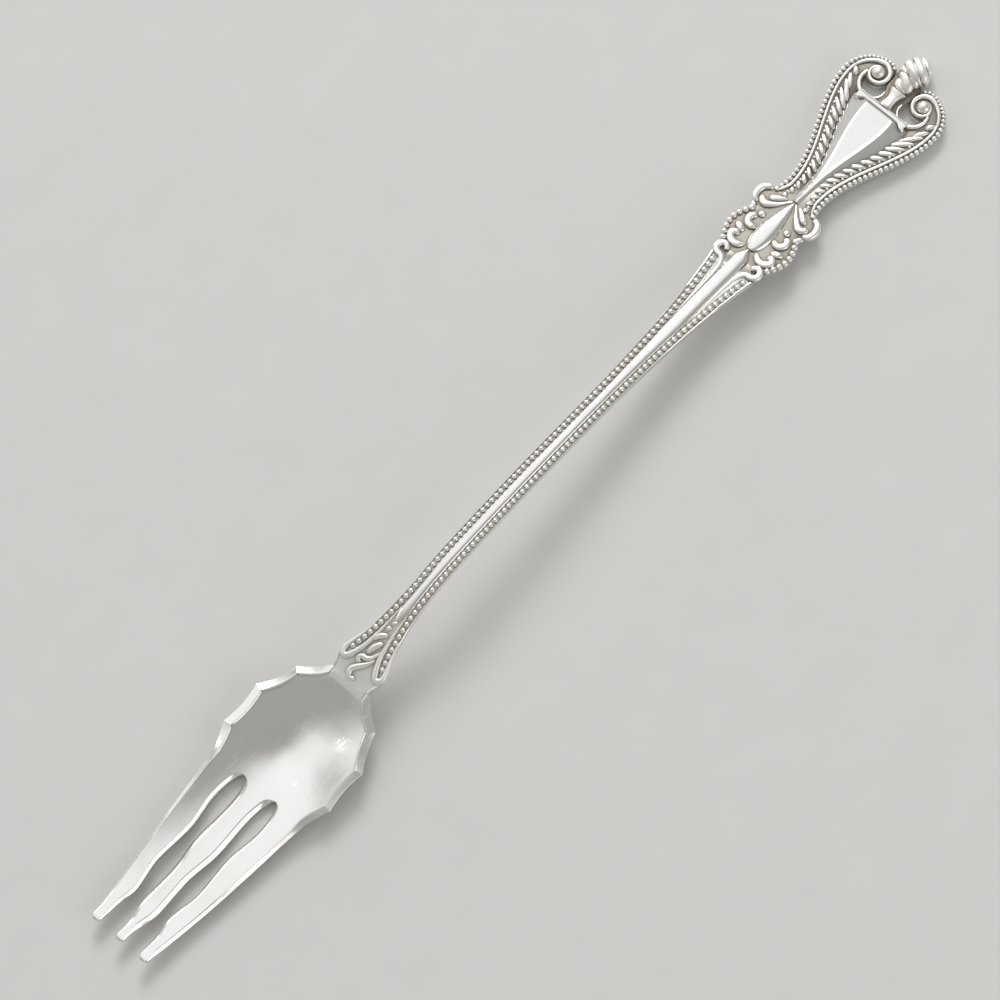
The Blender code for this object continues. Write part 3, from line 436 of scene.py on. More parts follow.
def arc_line(centre, radius, start, end):
    """Plan points on an arc, without its first one."""
    return [sample[:2] for sample in arc(centre, (radius, radius), start, end, (0, 0))[1:]]


def stroke_section(power):
    """Section of a stroke: a dome on straight feet, one unit high and two wide."""
    section = [(1.0, -1.0)]
    for turn in turns(0, 180, 12):
        section.append((squared(cos(turn), power), squared(sin(turn), power)))
    return section + [(-1.0, -1.0)]


def stroke(samples, height=0.7, base=THICKNESS, power=STROKE_POWER):
    """Rings of a plump raised stroke along samples of x, y and half width, with rounded ends."""
    section = stroke_section(power)
    travelled = [0.0]
    for near, far in zip(samples, samples[1:]):
        travelled.append(travelled[-1] + hypot(far[0] - near[0], far[1] - near[1]))
    rings = []
    for i, (x, y, half) in enumerate(samples):
        fullness = max(0.08, rounding(min(travelled[i], travelled[-1] - travelled[i]) / half))
        nx, ny = normal_at(samples, i)
        ring = []
        for across, up in section:
            offset = across * half * fullness
            ring.append((x + nx * offset, y + ny * offset, base + up * half * height * fullness))
        rings.append(ring)
    return rings


def bead(x, y, radius, base=THICKNESS):
    """Rings of one round bead, sunk a little into the face."""
    rings = []
    for latitude in BEAD_LATITUDES:
        reach = radius * cos(latitude)
        height = base + BEAD_FLATNESS * radius * sin(latitude)
        rings.append([(x + reach * cos(turn), y + reach * sin(turn), height) for turn in BEAD_TURNS])
    return rings


def bead_row(line, bead_at, pitch_at, base):
    """Beads at even steps along a line of plan points."""
    bodies = []
    travelled = 0.0
    due = 0.0
    for (x0, y0), (x1, y1) in zip(line, line[1:]):
        length = hypot(x1 - x0, y1 - y0)
        while due <= travelled + length:
            t = (due - travelled) / length
            x = mix(x0, x1, t)
            bodies.append(bead(x, mix(y0, y1, t), bead_at(x) / 2, base))
            due += pitch_at(x)
        travelled += length
    return bodies


def inset(outline, distance):
    """Move plan points to the right of travel by one distance."""
    moved = []
    for i, (x, y) in enumerate(outline):
        nx, ny = normal_at(outline, i)
        moved.append((x - nx * distance, y - ny * distance))
    return moved


def slab(outline, top, radius, bottom=0.0):
    """Rings of a flat slab with rounded edges, from a closed plan outline that runs clockwise."""
    closed = [outline[-1]] + outline + [outline[0]]
    rings = []
    for turn in turns(-90, 90, 18):
        middle = bottom + radius if turn < 0 else top - radius
        ring = inset(closed, radius * (1 - cos(turn)))[1:-1]
        rings.append([(x, y, middle + radius * sin(turn)) for x, y in ring])
    return rings


def oval_ring(x, low, high, bottom, top, power, count):
    """Ring of a bar with rounded corners."""
    ring = []
    for i in range(count):
        turn = 2 * pi * (i + 0.5) / count
        across = (squared(cos(turn), power) + 1) / 2
        up = (squared(sin(turn), power) + 1) / 2
        ring.append((x, mix(low, high, across), mix(bottom, top, up)))
    return ring


def dome_ring(x, half, level, rise, power, fullness, count):
    """Ring of a domed bar whose feet are sunk into the field."""
    ring = [(x, half, BURIED)]
    for i in range(count + 1):
        across = cos(pi * i / count)
        ring.append((x, half * across, level + rise * (1 - abs(across) ** power) ** fullness))
    return ring + [(x, -half, BURIED)]


def bevelled_row(low, high, level, low_bevel, high_bevel, depth):
    """Cross points from low to high of a level face with a soft bevel along both edges."""
    row = []
    for share, fall in BEVEL_SHAPE:
        row.append((low + low_bevel * share, level - depth * low_bevel / TINE_BEVEL * fall))
    for t in steps(0, 1, 0.125)[1:-1]:
        row.append((mix(low + low_bevel, high - high_bevel, t), level))
    for share, fall in reversed(BEVEL_SHAPE):
        row.append((high - high_bevel * share, level - depth * high_bevel / TINE_BEVEL * fall))
    return row


def both_sides(x, face):
    """Points across the fork, from half a face as (y, h) points outwards."""
    return [(x, -y, h) for y, h in reversed(face)] + [(x, y, h) for y, h in face[1:]]


def plate_ring(x, face, thickness, back):
    """Ring of a plate, from half its face, over a back that turns up at its edges."""
    edge_share, sharpness = back
    ring = both_sides(x, face)
    for i in range(17):
        turn = pi * i / 16
        ring.append((x, face[-1][0] * cos(turn), edge_share * thickness * (1 - sin(turn) ** sharpness)))
    return ring


def rounded_edge(half, height, radius):
    """Outer part of half a level face, rounded off at its edge."""
    points = []
    for turn in turns(0, 90, 15):
        points.append((half - radius + radius * sin(turn), height - radius * (1 - cos(turn))))
    return points


# Tines, bowl and rim


def tine_edges(x):
    """Half width of the middle tine and inner offset of the outer ones."""
    middle = track(MIDDLE_TINE, x)
    outer = track(OUTER_TINE, x)
    if x > SLOT_ROUND:
        t = min(1.0, (x - SLOT_ROUND) / (BOWL - SLOT_ROUND))
        open_share = sqrt(1 - t * t)
        middle = mix(SLOT_END, middle, open_share)
        outer = mix(SLOT_END, outer, open_share)
    return middle, outer


def outer_edge(x):
    """Outer edge of the outer tines, bowed out a little."""
    bow = TINE_BOW * sin(pi * min(1.0, x / SLOT_ROUND))
    return mix(TIP_HALF, ROOT_HALF, x / BOWL) + bow


def tine_thickness(x):
    return mix(TIP_THICKNESS, BOWL_THICKNESS, smooth(x / THICKENING_RUN))


def tine_ring(x, low, high, outer):
    """Ring of a tine, whose bevels fade out towards the tip and where the slot closes."""
    taper = max(TIP_END_TAPER, rounding(x / TIP_TAPER))
    middle = (low + high) / 2
    half = (high - low) / 2 * mix(TIP_END_SHARE, 1.0, rounding(x / TIP_ROUND))
    top = tine_thickness(x)
    bottom = top * (1 - taper) / 2
    slot = tine_edges(x)[1] - tine_edges(x)[0]
    most = half * mix(TIP_BEVEL_SHARE, MOST_BEVEL_SHARE, smooth(x / TIP_BEVEL_RUN))
    slot_bevel = min(TINE_BEVEL, most) * smooth(slot / FULL_BEVEL_SLOT) + LEAST_BEVEL
    outer_bevel = min(RIM_TINE_WIDTH, most) if outer else slot_bevel
    slot_bevel *= OUTER_BEVEL_SHARE if outer else 1.0
    ends = (middle - half, middle + half)
    face = bevelled_row(*ends, top - bottom, slot_bevel, outer_bevel, TINE_BEVEL_DEPTH)
    back_bevels = (BACK_BEVEL_SHARE * slot_bevel, BACK_BEVEL_SHARE * outer_bevel)
    back = bevelled_row(*ends, -bottom, *back_bevels, BACK_DEPTH_SHARE * TINE_BEVEL_DEPTH)
    return [(x, y, h) for y, h in face] + [(x, y, -h) for y, h in reversed(back)]


def build_tines():
    places = [TIP_ROUND * share for share in (0.0, 0.03, 0.1, 0.23, 0.43, 0.7)]
    places += steps(TIP_ROUND, TIP_TAPER, 0.1)[:-1]
    places += steps(TIP_TAPER, SLOT_ROUND, 0.4)
    places += [mix(SLOT_ROUND, BOWL, sin(turn)) for turn in turns(6, 84, 6)]
    places += [BOWL - CORNER_GAP, BOWL]
    middle = [tine_ring(x, -tine_edges(x)[0], tine_edges(x)[0], False) for x in places]
    outer = [tine_ring(x, tine_edges(x)[1], outer_edge(x), True) for x in places]
    dress("tine_middle", [middle])
    dress_pair("tine", [outer])


def bowl_half(x):
    """Half width of the bowl: runs between lobe corners, each sagging inwards a little."""
    for (x0, half0), (x1, half1), sag in zip(CORNERS, CORNERS[1:], SAGS):
        if x <= x1:
            t = max(0.0, (x - x0) / (x1 - x0))
            return mix(half0, half1, t) - sag * sin(pi * t)
    return NECK_HALF


def neck_share(x):
    """How far the bowl has passed over to the neck."""
    return ease(x, LOBE_END, NECK)


def bowl_thickness(x):
    return mix(BOWL_THICKNESS, THICKNESS, neck_share(x))


def hollow(x, y):
    """Depth of the hollow in the bowl's face, which ends in a crease at the neck."""
    past = max(0.0, (x - DEEPEST) / (HOLLOW_END - DEEPEST))
    along = ease(x, HOLLOW_START, DEEPEST) * max(0.0, 1 - past ** 2)
    across = min(1.0, abs(y) / bowl_half(x))
    return HOLLOW_DEPTH * along * (1 - across ** 2) ** 3


def bowl_runs(spacing, *stops):
    """Places along each run between the bowl's corners and any other stops."""
    stops = sorted([x for x, half in CORNERS] + list(stops))
    return [steps(start, end, spacing) for start, end in zip(stops, stops[1:])]


def rim_width(x):
    """Width of the rim, which is narrower along the tines."""
    return mix(RIM_TINE_WIDTH, RIM_WIDTH, ease(x, *RIM_WIDENS))


def rim_fall(x, share):
    """How far the face falls off under the rim, at a share of the rim's width from the edge."""
    return RIM_FALL * max(0.0, 1 - share) * smooth((NECK - x) / RIM_FALL_END)


def build_bowl():
    """Dished and hollowed plate, with places close on either side of each corner."""
    places = [BOWL]
    for run in bowl_runs(0.3, HOLLOW_END):
        places += [run[0] + CORNER_GAP] + run[1:-1] + [run[-1] - CORNER_GAP]
    rings = []
    for x in places + [NECK]:
        half = bowl_half(x)
        top = bowl_thickness(x)
        face = []
        for i in range(33):
            y = half * i / 32
            face.append((y, top - hollow(x, y) - rim_fall(x, (half - y) / rim_width(x))))
        back = [mix(bowl, stem, neck_share(x)) for bowl, stem in zip(BOWL_BACK, STEM_BACK)]
        rings.append(plate_ring(x, face, THICKNESS, back))
    dress("bowl", [rings])


def build_rims():
    """Bevelled border of the bowl, which runs on along the outer edge of the outer tines."""
    outline = [(x, outer_edge(x)) for x in steps(RIM_START, BOWL, 0.5)[:-1]]
    outline.append((BOWL, ROOT_HALF))
    for run in bowl_runs(0.5):
        outline += [(x, bowl_half(x)) for x in run[1:]]
    rings = []
    for i, (x, y) in enumerate(outline):
        nx, ny = normal_at(outline, i)
        start = ease(x, RIM_START, RIM_RISEN)
        end = rounding((NECK - x) / RIM_END_RUN)
        width = rim_width(x) * mix(RIM_END_SHARE, 1.0, end)
        top = tine_thickness(x) if x < BOWL else bowl_thickness(x)
        swell = mix(RIM_TINE_SHARE, 1.0, ease(x, *RIM_SWELLS))
        height = max(0.02, RIM_HEIGHT * start * end * swell)
        ring = []
        for share, up in RIM_SECTION:
            fall = rim_fall(x, share) + RIM_START_DIP * (1 - start)
            ring.append((x - nx * share * width, y - ny * share * width, top + up * height - fall))
        rings.append(ring)
    dress_pair("bowl_rim", [rings], sharp=18)


# Neck and stem


def from_neck(x):
    return max(0.0, 1 - (x - LOOP_X) / NECK_TAPER)


def to_top(x):
    return max(0.0, 1 - (CARTOUCHE - x) / TOP_FLARE)


def stem_half(x):
    """Half width of the neck and stem: loop ends, slender middle and flared top."""
    if x < LOOP_X:
        return mix(NECK_HALF, LOOP_HALF, ease(x, NECK, LOOP_X))
    neck_part = (LOOP_HALF - STEM_HALF) * from_neck(x) ** NECK_TAPER_POWER
    top_part = (STEM_TOP_HALF - STEM_HALF) * to_top(x) ** TOP_FLARE_POWER
    return STEM_HALF + neck_part + top_part


def along_stem(x, widths):
    """Width that changes from the stem's middle towards the neck and the top."""
    middle, neck, top = widths
    return middle + (neck - middle) * from_neck(x) + (top - middle) * to_top(x) ** 2


def stem_bead(x):
    return along_stem(x, STEM_BEADS)


def stem_edge(x):
    """Smooth edge left outside the bead rows."""
    return along_stem(x, STEM_EDGES)


def bead_inner(x):
    return stem_half(x) - stem_edge(x) - stem_bead(x) - BEAD_GROOVE


def build_stem():
    """Plate of the neck and stem, with a channel for the beads along each edge."""
    rings = []
    for x in steps(NECK, LOOP_X + 1, 0.1) + steps(LOOP_X + 1, CARTOUCHE, 0.4)[1:]:
        half = stem_half(x)
        inner = bead_inner(max(x, LOOP_X))
        edge = half - stem_edge(max(x, LOOP_X))
        depth = CHANNEL_DEPTH * smooth((x - LOOP_X) / CHANNEL_RUN)
        top = mix(FIELD, THICKNESS, smooth((CARTOUCHE - x) / STEM_FALL))
        face = [(0.0, top), (inner / 2, top), (inner - 0.06, top)]
        face += [(inner + 0.04, top - depth), (edge - 0.05, top - depth)]
        face += [(edge + 0.03, top), (mix(edge, half, 0.5), top + 0.03)]
        face += [(mix(edge, half, 0.85), top - 0.03), (half, top - 0.18)]
        rings.append(plate_ring(x, face, THICKNESS, STEM_BACK))
    dress("stem", [rings])


def build_stem_panel():
    """Domed panel between the bead rows, pointed at both ends."""
    places = steps(PANEL_START, PANEL_OPEN, 0.15)
    places += steps(PANEL_OPEN, CARTOUCHE, 0.5)[1:]
    places += steps(CARTOUCHE, PANEL_TIP, 0.1)[1:]
    rings = []
    for x in places:
        opening = ease(x, PANEL_START, PANEL_OPEN)
        closing = min(1.0, (PANEL_TIP - x) / (PANEL_TIP - CARTOUCHE))
        share = max(0.06, min(opening, closing))
        half = min(bead_inner(min(x, CARTOUCHE)), PANEL_TOP_HALF) * share
        rings.append(dome_ring(x, half, THICKNESS, PANEL_RISE * sqrt(share), 3, 0.6, 16))
    dress("stem_panel", [rings], sharp=50)


def build_stem_beads():
    line = []
    for x in steps(LOOP_X + 1.1, CARTOUCHE - 2.1, 0.3):
        line.append((x, stem_half(x) - stem_edge(x) - stem_bead(x) / 2))
    row = bead_row(line, stem_bead, lambda x: BEAD_SPACING * stem_bead(x), THICKNESS)
    dress_pair("stem_beads", row)


def build_neck():
    """U-shaped fillets that end the bead rows, and the running leaf spray between them."""
    loop = [(48.5, 1.92, 0.1), (46.5, 2.42, 0.2), (45.0, 2.88, 0.28), (44.1, 3.1, 0.34), (43.5, 2.9, 0.38),
            (43.42, 2.4, 0.4), (43.95, 1.98, 0.4), (45.0, 1.5, 0.36), (46.0, 1.2, 0.32), (48.0, 0.9, 0.24),
            (50.0, 0.74, 0.16), (52.0, 0.62, 0.08)]
    dress_pair("neck_loop", [stroke(curve(loop, 90), height=1.0, power=2.2)])
    leaves = [
        [(42.05, -0.35, 0.24), (41.75, 0.15, 0.32), (42.0, 0.66, 0.38), (42.6, 0.8, 0.42),
         (43.15, 0.45, 0.4), (43.7, -0.05, 0.36), (44.4, -0.6, 0.28), (45.2, -1.0, 0.14)],
        [(44.1, 0.3, 0.22), (43.85, 0.7, 0.3), (44.25, 0.95, 0.34), (44.6, 0.55, 0.38),
         (44.65, 0.05, 0.38), (45.0, -0.4, 0.34), (45.7, -0.75, 0.26), (46.5, -1.0, 0.12)],
        [(45.15, 0.32, 0.26), (45.6, 0.34, 0.38), (46.2, 0.16, 0.42), (46.8, -0.15, 0.38),
         (47.3, -0.45, 0.2)],
        [(46.85, 0.7, 0.24), (47.3, 0.68, 0.34), (47.75, 0.4, 0.38), (48.1, -0.05, 0.34),
         (48.35, -0.4, 0.18)],
    ]
    buds = [[(48.65, 0.4, 0.18), (49.0, 0.2, 0.3), (49.2, -0.2, 0.18)],
            [(49.55, 0.25, 0.12), (49.85, 0.05, 0.22), (50.2, -0.25, 0.12)]]
    for number, points in enumerate(leaves, start=1):
        bodies = [stroke(curve(points, 44), height=1.15, power=2.0)]
        if number == len(leaves):
            bodies += [stroke(curve(bud, 24), height=1.15, power=2.0) for bud in buds]
        dress("neck_leaf_%d" % number, bodies)


def build_stem_scrolls():
    """Fillets inside the bead rows that end in a curl at the top of the stem."""
    points = [(-9.3, 1.02, 0.05), (-6.3, 1.1, 0.14), (-3.8, 1.2, 0.22), (-2.3, 1.42, 0.3),
              (-1.45, 1.95, 0.38), (-1.3, 2.7, 0.42), (-0.9, 3.25, 0.44), (-0.22, 3.25, 0.44),
              (0.2, 2.75, 0.4), (-0.05, 2.2, 0.34), (-0.5, 2.25, 0.24)]
    dress_pair("stem_scroll", [stroke(curve(points, 90, CARTOUCHE))])


# Cartouche


def cartouche_half(x):
    """Half width of the cartouche: a beaded oval, then the two side scrolls."""
    if x < SIDE_SCROLL:
        swell = sin(pi * max(0.0, x - CARTOUCHE) / CARTOUCHE_LENGTH)
        return mix(CARTOUCHE_END_HALF, CARTOUCHE_HALF, swell)
    t = min(1.0, (x - SIDE_SCROLL) / (TERMINAL - SIDE_SCROLL))
    swell = sqrt(max(0.0, sin(pi * t)))
    return mix(mix(CARTOUCHE_END_HALF, TERMINAL_END_HALF, t), CARTOUCHE_HALF, swell)


def build_cartouche():
    places = steps(CARTOUCHE, SIDE_SCROLL, 0.2)
    for turn in turns(8, 168, 8):
        places.append(mix(SIDE_SCROLL, TERMINAL, (1 - cos(turn)) / 2))
    places.append(TERMINAL)
    rings = []
    for x in places:
        from_end = min(x - CARTOUCHE, TERMINAL - x)
        half = cartouche_half(x) - CARTOUCHE_INSET * smooth(from_end / CARTOUCHE_END_RUN)
        face = [(half * share, FIELD) for share in (0.0, 0.25, 0.5, 0.75)]
        rings.append(plate_ring(x, face + rounded_edge(half, FIELD, EDGE_ROUND), FIELD, CARTOUCHE_BACK))
    dress("cartouche", [rings])


def build_cartouche_boss():
    """Smooth pear-shaped boss, broad at the stem's end."""
    start = PANEL_TIP + 0.05
    end = TERMINAL + 0.1
    rings = []
    for x in steps(start, end, 0.1):
        t = (x - start) / (end - start)
        half = max(0.04, BOSS_HALF * sin(pi * t ** 0.6) ** 0.8)
        rings.append(dome_ring(x, half, FIELD, BOSS_RISE * sqrt(half / BOSS_HALF), 4, 0.8, 20))
    dress("cartouche_boss", [rings], sharp=60)


def build_cartouche_beads():
    places = steps(CARTOUCHE + 0.55, SIDE_SCROLL - 0.1, 0.1)
    line = inset([(x, cartouche_half(x)) for x in places], CARTOUCHE_BEAD / 2 - 0.03)
    row = bead_row(line, lambda x: CARTOUCHE_BEAD, lambda x: CARTOUCHE_PITCH, BEAD_BASE)
    dress_pair("cartouche_beads", row)


def build_cartouche_leaves():
    """Comma-shaped scrolls and drops in the field between the boss and the beads."""
    motifs = {
        "lower_scroll": [(1.85, 0.98, 0.2), (1.3, 1.45, 0.42), (1.05, 2.15, 0.5), (1.3, 2.9, 0.5),
                         (1.9, 3.25, 0.48), (2.35, 2.9, 0.44), (2.15, 2.35, 0.36)],
        "lower_leaf": [(2.95, 2.2, 0.28), (3.1, 2.7, 0.44), (3.35, 3.25, 0.46), (3.6, 3.75, 0.28)],
        "upper_scroll": [(4.6, 1.4, 0.28), (4.2, 1.95, 0.46), (4.3, 2.6, 0.48), (4.9, 2.95, 0.46),
                         (5.5, 2.75, 0.44), (5.4, 2.25, 0.36)],
        "upper_leaf": [(6.0, 1.65, 0.34), (6.3, 2.05, 0.5), (6.6, 2.45, 0.34)],
    }
    for name, points in motifs.items():
        dress_pair(name, [stroke(curve(points, 48, CARTOUCHE), 0.75, FIELD)])


def build_side_scrolls():
    """Hooks over the cartouche's shoulders, S-scrolls from the middle line, and chevrons beside them."""
    hook = [(-2.75, 3.6, 0.26), (-2.35, 4.32, 0.42), (-1.55, 4.56, 0.46), (-0.75, 4.4, 0.46),
            (-0.2, 3.85, 0.42), (-0.1, 3.2, 0.28)]
    tail = [(0.1, 0.28, 0.12), (-0.8, 0.98, 0.2), (-1.65, 1.75, 0.36), (-2.3, 2.65, 0.5),
            (-2.1, 3.35, 0.46), (-1.5, 3.5, 0.36)]
    bud = [(-3.6, 3.3, 0.2), (-3.35, 3.75, 0.32), (-2.95, 4.1, 0.18)]
    chevron = [(-1.3, 2.95, 0.3), (-1.05, 2.4, 0.42), (-0.5, 1.65, 0.34), (0.05, 0.95, 0.14)]
    bodies = []
    for points, count, height in ((hook, 56, 0.85), (tail, 56, 0.8), (bud, 24, 0.8)):
        bodies.append(stroke(curve(points, count, TERMINAL), height, FIELD))
    dress_pair("side_scroll", bodies)
    dress_pair("chevron", [stroke(curve(chevron, 30, TERMINAL), 0.75, FIELD)])


# Terminal


def terminal_half(x):
    """Half width of the heart-shaped terminal, from its waist to its shoulder."""
    waist = TERMINAL + WAIST_AT
    if x < waist:
        return mix(WAIST_HALF, TERMINAL_END_HALF, ((waist - x) / WAIST_AT) ** 2)
    return mix(WAIST_HALF, TERMINAL_HALF, ease(x, waist, SHOULDER))


def edge_normal(x):
    """Unit outward normal of the terminal's left edge."""
    slope = (terminal_half(x + 0.01) - terminal_half(x - 0.01)) / 0.02
    run = hypot(1.0, slope)
    return -slope / run, 1 / run


def foot_share(x):
    """How far the terminal's panel has opened from its foot."""
    return ease(x, PANEL_FOOT, PANEL_FOOT_END)


def panel_outline(x):
    """Half width of the terminal's panel between the husks, with a narrow foot."""
    depth = HUSK_INSET + track(HUSK_WIDTH, x) + 0.05
    half = terminal_half(x) - depth / edge_normal(x)[1]
    return half * mix(PANEL_FOOT_SHARE, 1.0, foot_share(x))


def panel_sink(x):
    """Depth of the panel's outer edges below the field, less at the foot and beside the cross bar."""
    return PANEL_SINK * foot_share(x) * mix(1.0, SINK_FADE_SHARE, ease(x, *SINK_FADES))


def build_terminal():
    """Plate of the terminal, recessed under its panel."""
    rings = []
    for x in steps(TERMINAL, YOKE, 0.25):
        half = terminal_half(x) - TERMINAL_INSET * smooth((x - TERMINAL) / 0.5)
        floor = FIELD - RECESS_SHARE * panel_sink(x)
        inner = panel_outline(x)
        face = [(0.0, floor), (inner, floor), (inner + RECESS_SIDE, FIELD)]
        face += rounded_edge(half, FIELD, EDGE_ROUND)
        rings.append(plate_ring(x, face, FIELD, TERMINAL_BACK))
    dress("terminal", [rings])


def build_terminal_panel():
    """Three-facet panel: a bevelled middle facet that widens upwards, between two sloping ones."""
    rings = []
    for x in steps(PANEL_FOOT, BAR_START - FACET_BEVEL, 0.3) + [BAR_START]:
        half = panel_outline(x)
        facet = mix(*FACET_HALF, ease(x, *FACET_WIDENS))
        bevel = min(FACET_BEVEL, 0.3 * half)
        foot = FIELD + PANEL_LIFT - panel_sink(x)
        shoulder = foot + SIDE_FACET_SLOPE * (half - facet - bevel)
        top = shoulder + BEVEL_SLOPE * bevel * (1.0 if x < BAR_START else 0.1)
        lapped = foot - SIDE_FACET_SLOPE * PANEL_LAP
        face = [(0.0, top), (facet, top), (facet + bevel, shoulder)]
        face += [(half + PANEL_LAP, lapped), (half, lapped - 0.15)]
        rings.append(both_sides(x, face))
    dress("terminal_panel", [rings], sharp=8)


def rail(start, end, half, flare):
    """Plan of a bar across the fork, clockwise, whose near edge flares towards both ends."""
    near = [(start - flare * smooth((abs(y) - half + 1.3) / 1.1), y) for y in steps(-half, half, 0.2)]
    return near + [(end, -y) for x, y in near]


def build_cross_bar():
    """Double rail under the eyes, with flared ends."""
    wide = rail(BAR_START, YOKE - 0.28, BAR_HALF, BAR_FLARE)
    narrow = rail(YOKE - 0.26, YOKE + 0.02, BAR_HALF * 0.96, 0.0)
    bodies = [slab(wide, THICKNESS + 0.65, 0.14, BURIED), slab(narrow, THICKNESS + 0.3, 0.1, BURIED)]
    dress("cross_bar", bodies)


def terminal_line(depth, end_angle):
    """Plan line at one depth inside the terminal's edge, from its foot round the volute to an angle."""
    outline = [(x, terminal_half(x)) for x in steps(TERMINAL + 0.25, SHOULDER, 0.25)]
    outline += arc_line(VOLUTE, VOLUTE_RADIUS, 90, max(0, end_angle))
    if end_angle < 0:
        outline += arc_line(VOLUTE_END, VOLUTE_END_RADIUS, 0, end_angle)
    return inset(outline, depth)


def border_bead(x):
    """Width of a border bead, which is smaller along the volute."""
    return TERMINAL_BEAD * mix(1.0, VOLUTE_BEAD_SHARE, smooth((x - SHOULDER) / 3.0))


def build_terminal_borders():
    """Bead border along each side, and the smooth fillet inside it."""
    line = terminal_line(TERMINAL_BEAD / 2 - 0.06, -75)
    row = bead_row(line, border_bead, lambda x: BORDER_PITCH * border_bead(x) / TERMINAL_BEAD, BEAD_BASE)
    dress_pair("terminal_beads", row)
    half = FILLET_WIDTH / 2
    path = [(TERMINAL - 0.2, 3.1, 0.12), (TERMINAL + 0.5, 2.5, half)]
    line = terminal_line(TERMINAL_BEAD + half, 66)
    path += [(x, y, half) for x, y in line if x > TERMINAL + 1.5]
    dress_pair("terminal_fillet", [stroke(path, 1.5, FIELD)])


def inward(point, normal, depth, back):
    """Plan point at a depth inside an edge, and some way back along it."""
    nx, ny = normal
    return point[0] - nx * depth - ny * back, point[1] - ny * depth + nx * back


def build_husks():
    """Row of slanting husks beside the panel, with beads between them that stop before the volute."""
    bodies = []
    x = TERMINAL + 0.9
    while x < SHOULDER + 1.2:
        t = ease(x, TERMINAL, YOKE)
        normal = edge_normal(x)
        outer = inward((x, terminal_half(x)), normal, HUSK_INSET, 0.0)
        points = []
        for share, fullness in HUSK_SHAPE:
            depth = track(HUSK_WIDTH, x) * share
            points.append((*inward(outer, normal, depth, HUSK_LEAN * depth), mix(*HUSK_HALF, t) * fullness))
        bodies.append(stroke(curve(points, 20), 1.0, FIELD))
        pitch = mix(*HUSK_PITCH, t) * mix(1.0, HUSK_CLOSE_SHARE, ease(x, HUSK_CLOSING, YOKE))
        if x < HUSK_CLOSING:
            between = inward(outer, normal, HUSK_BEAD, HUSK_LEAN * HUSK_BEAD - 0.5 * pitch)
            bodies.append(bead(*between, HUSK_BEAD, FIELD))
        x += pitch * normal[1]
    dress_pair("husks", bodies)


# Volutes and finial


def volute_outline():
    """Plan of one volute: the arm that leaves the shoulder, its rounded end and the curl beside the eye."""
    start = YOKE - PLATE_LAP
    outline = [(start, y) for y in steps(EYE_MIDDLE + EYE_SPLIT, terminal_half(start) - 0.2, 0.4)]
    outline += [(x, terminal_half(x) - TERMINAL_INSET) for x in steps(start + 0.2, SHOULDER, 0.25)]
    outline += arc_line(VOLUTE, VOLUTE_RADIUS, 90, 0)
    outline += arc_line(VOLUTE_END, VOLUTE_END_RADIUS, 0, -90)
    outline += arc_line(CURL, CURL_RADIUS, -90, CURL_END)
    for turn in turns(102, 180, 13):
        x = YOKE + EYE_REACH * (1 + cos(turn))
        outline.append((x, EYE_MIDDLE + (EYE_OUTER_HALF - EYE_MIDDLE) * sin(turn)))
    return outline


def build_volutes():
    """Pierced volutes: a slab with the spiral band, the eye's rim and the ball at the spiral's end."""
    dress_pair("volute", [slab(volute_outline(), PLATE_TOP, 0.28)], sharp=60)
    half = FILLET_WIDTH / 2
    radius = VOLUTE_RADIUS - TERMINAL_BEAD - half
    path = arc(VOLUTE, (radius, radius + 0.17), 76, 10, (half, CURL_BAND))
    from_curl = Vector(path[-1][:2]) - Vector(CURL)
    start = degrees(atan2(from_curl.y, from_curl.x))
    path += arc(CURL, (from_curl.length, 0.78), start, start - CURL_TURN, (CURL_BAND, 0.16))[1:]
    eye = (YOKE + EYE_REACH, EYE_MIDDLE)
    radius = EYE_REACH + EYE_RIM
    eye_rim = arc(eye, (radius, radius), 166, 62, (EYE_RIM, 0.6 * EYE_RIM))
    dress_pair("volute_curl", [stroke(path, RIM_STROKE, FIELD), stroke(eye_rim, RIM_STROKE, FIELD)])
    ball = bead(CURL[0] + 0.05, CURL[1] + 0.05, BALL_RADIUS, FIELD + 0.1)
    dress_pair("volute_ball", [ball], sharp=60)


def build_yoke():
    """Plate between the eyes that carries the pedestal, with its corners at the eyes rounded."""
    eye_x, eye_y = INNER_EYE
    half_plan = [(YOKE - PLATE_LAP, eye_y)]
    for turn in turns(180, 270, 15):
        x = eye_x + (eye_x - YOKE) * cos(turn)
        half_plan.append((x, eye_y + (eye_y - YOKE_WAIST) * sin(turn)))
    for x in steps(eye_x, COLLAR, 0.3)[1:]:
        half_plan.append((x, mix(YOKE_WAIST, YOKE_HALF, smooth((x - eye_x - 0.4) / 0.8))))
    half_plan += [(x, YOKE_HALF) for x in steps(COLLAR, FINIAL, 0.4)[1:]]
    plan = half_plan + [(x, -y) for x, y in reversed(half_plan)]
    dress("finial_yoke", [slab(plan, PLATE_TOP, 0.2)])


def build_pedestal():
    """Spool-shaped pedestal, with the inner rims of the eyes beside it."""
    start = YOKE - 0.02
    end = COLLAR + 0.05
    rings = []
    for x in steps(start, end, 0.08):
        t = (x - start) / (end - start)
        half = mix(*PEDESTAL_HALF, t) * (1 - PEDESTAL_WAIST * sin(pi * t) ** 1.2)
        round_off = max(0.8, rounding(14 * min(t, 1 - t)))
        top = FIELD + mix(*PEDESTAL_RISE, sin(pi * t)) * round_off
        rings.append(oval_ring(x, -half, half, FIELD - 0.3, top, 3.2, 36))
    bodies = [rings]
    path = arc(INNER_EYE, (1.58, 1.42), 192, 285, (INNER_EYE_RIM, 0.11))
    for side in (1, -1):
        bodies.append(stroke([(x, side * y, half) for x, y, half in path], RIM_STROKE, FIELD))
    dress("pedestal", bodies)


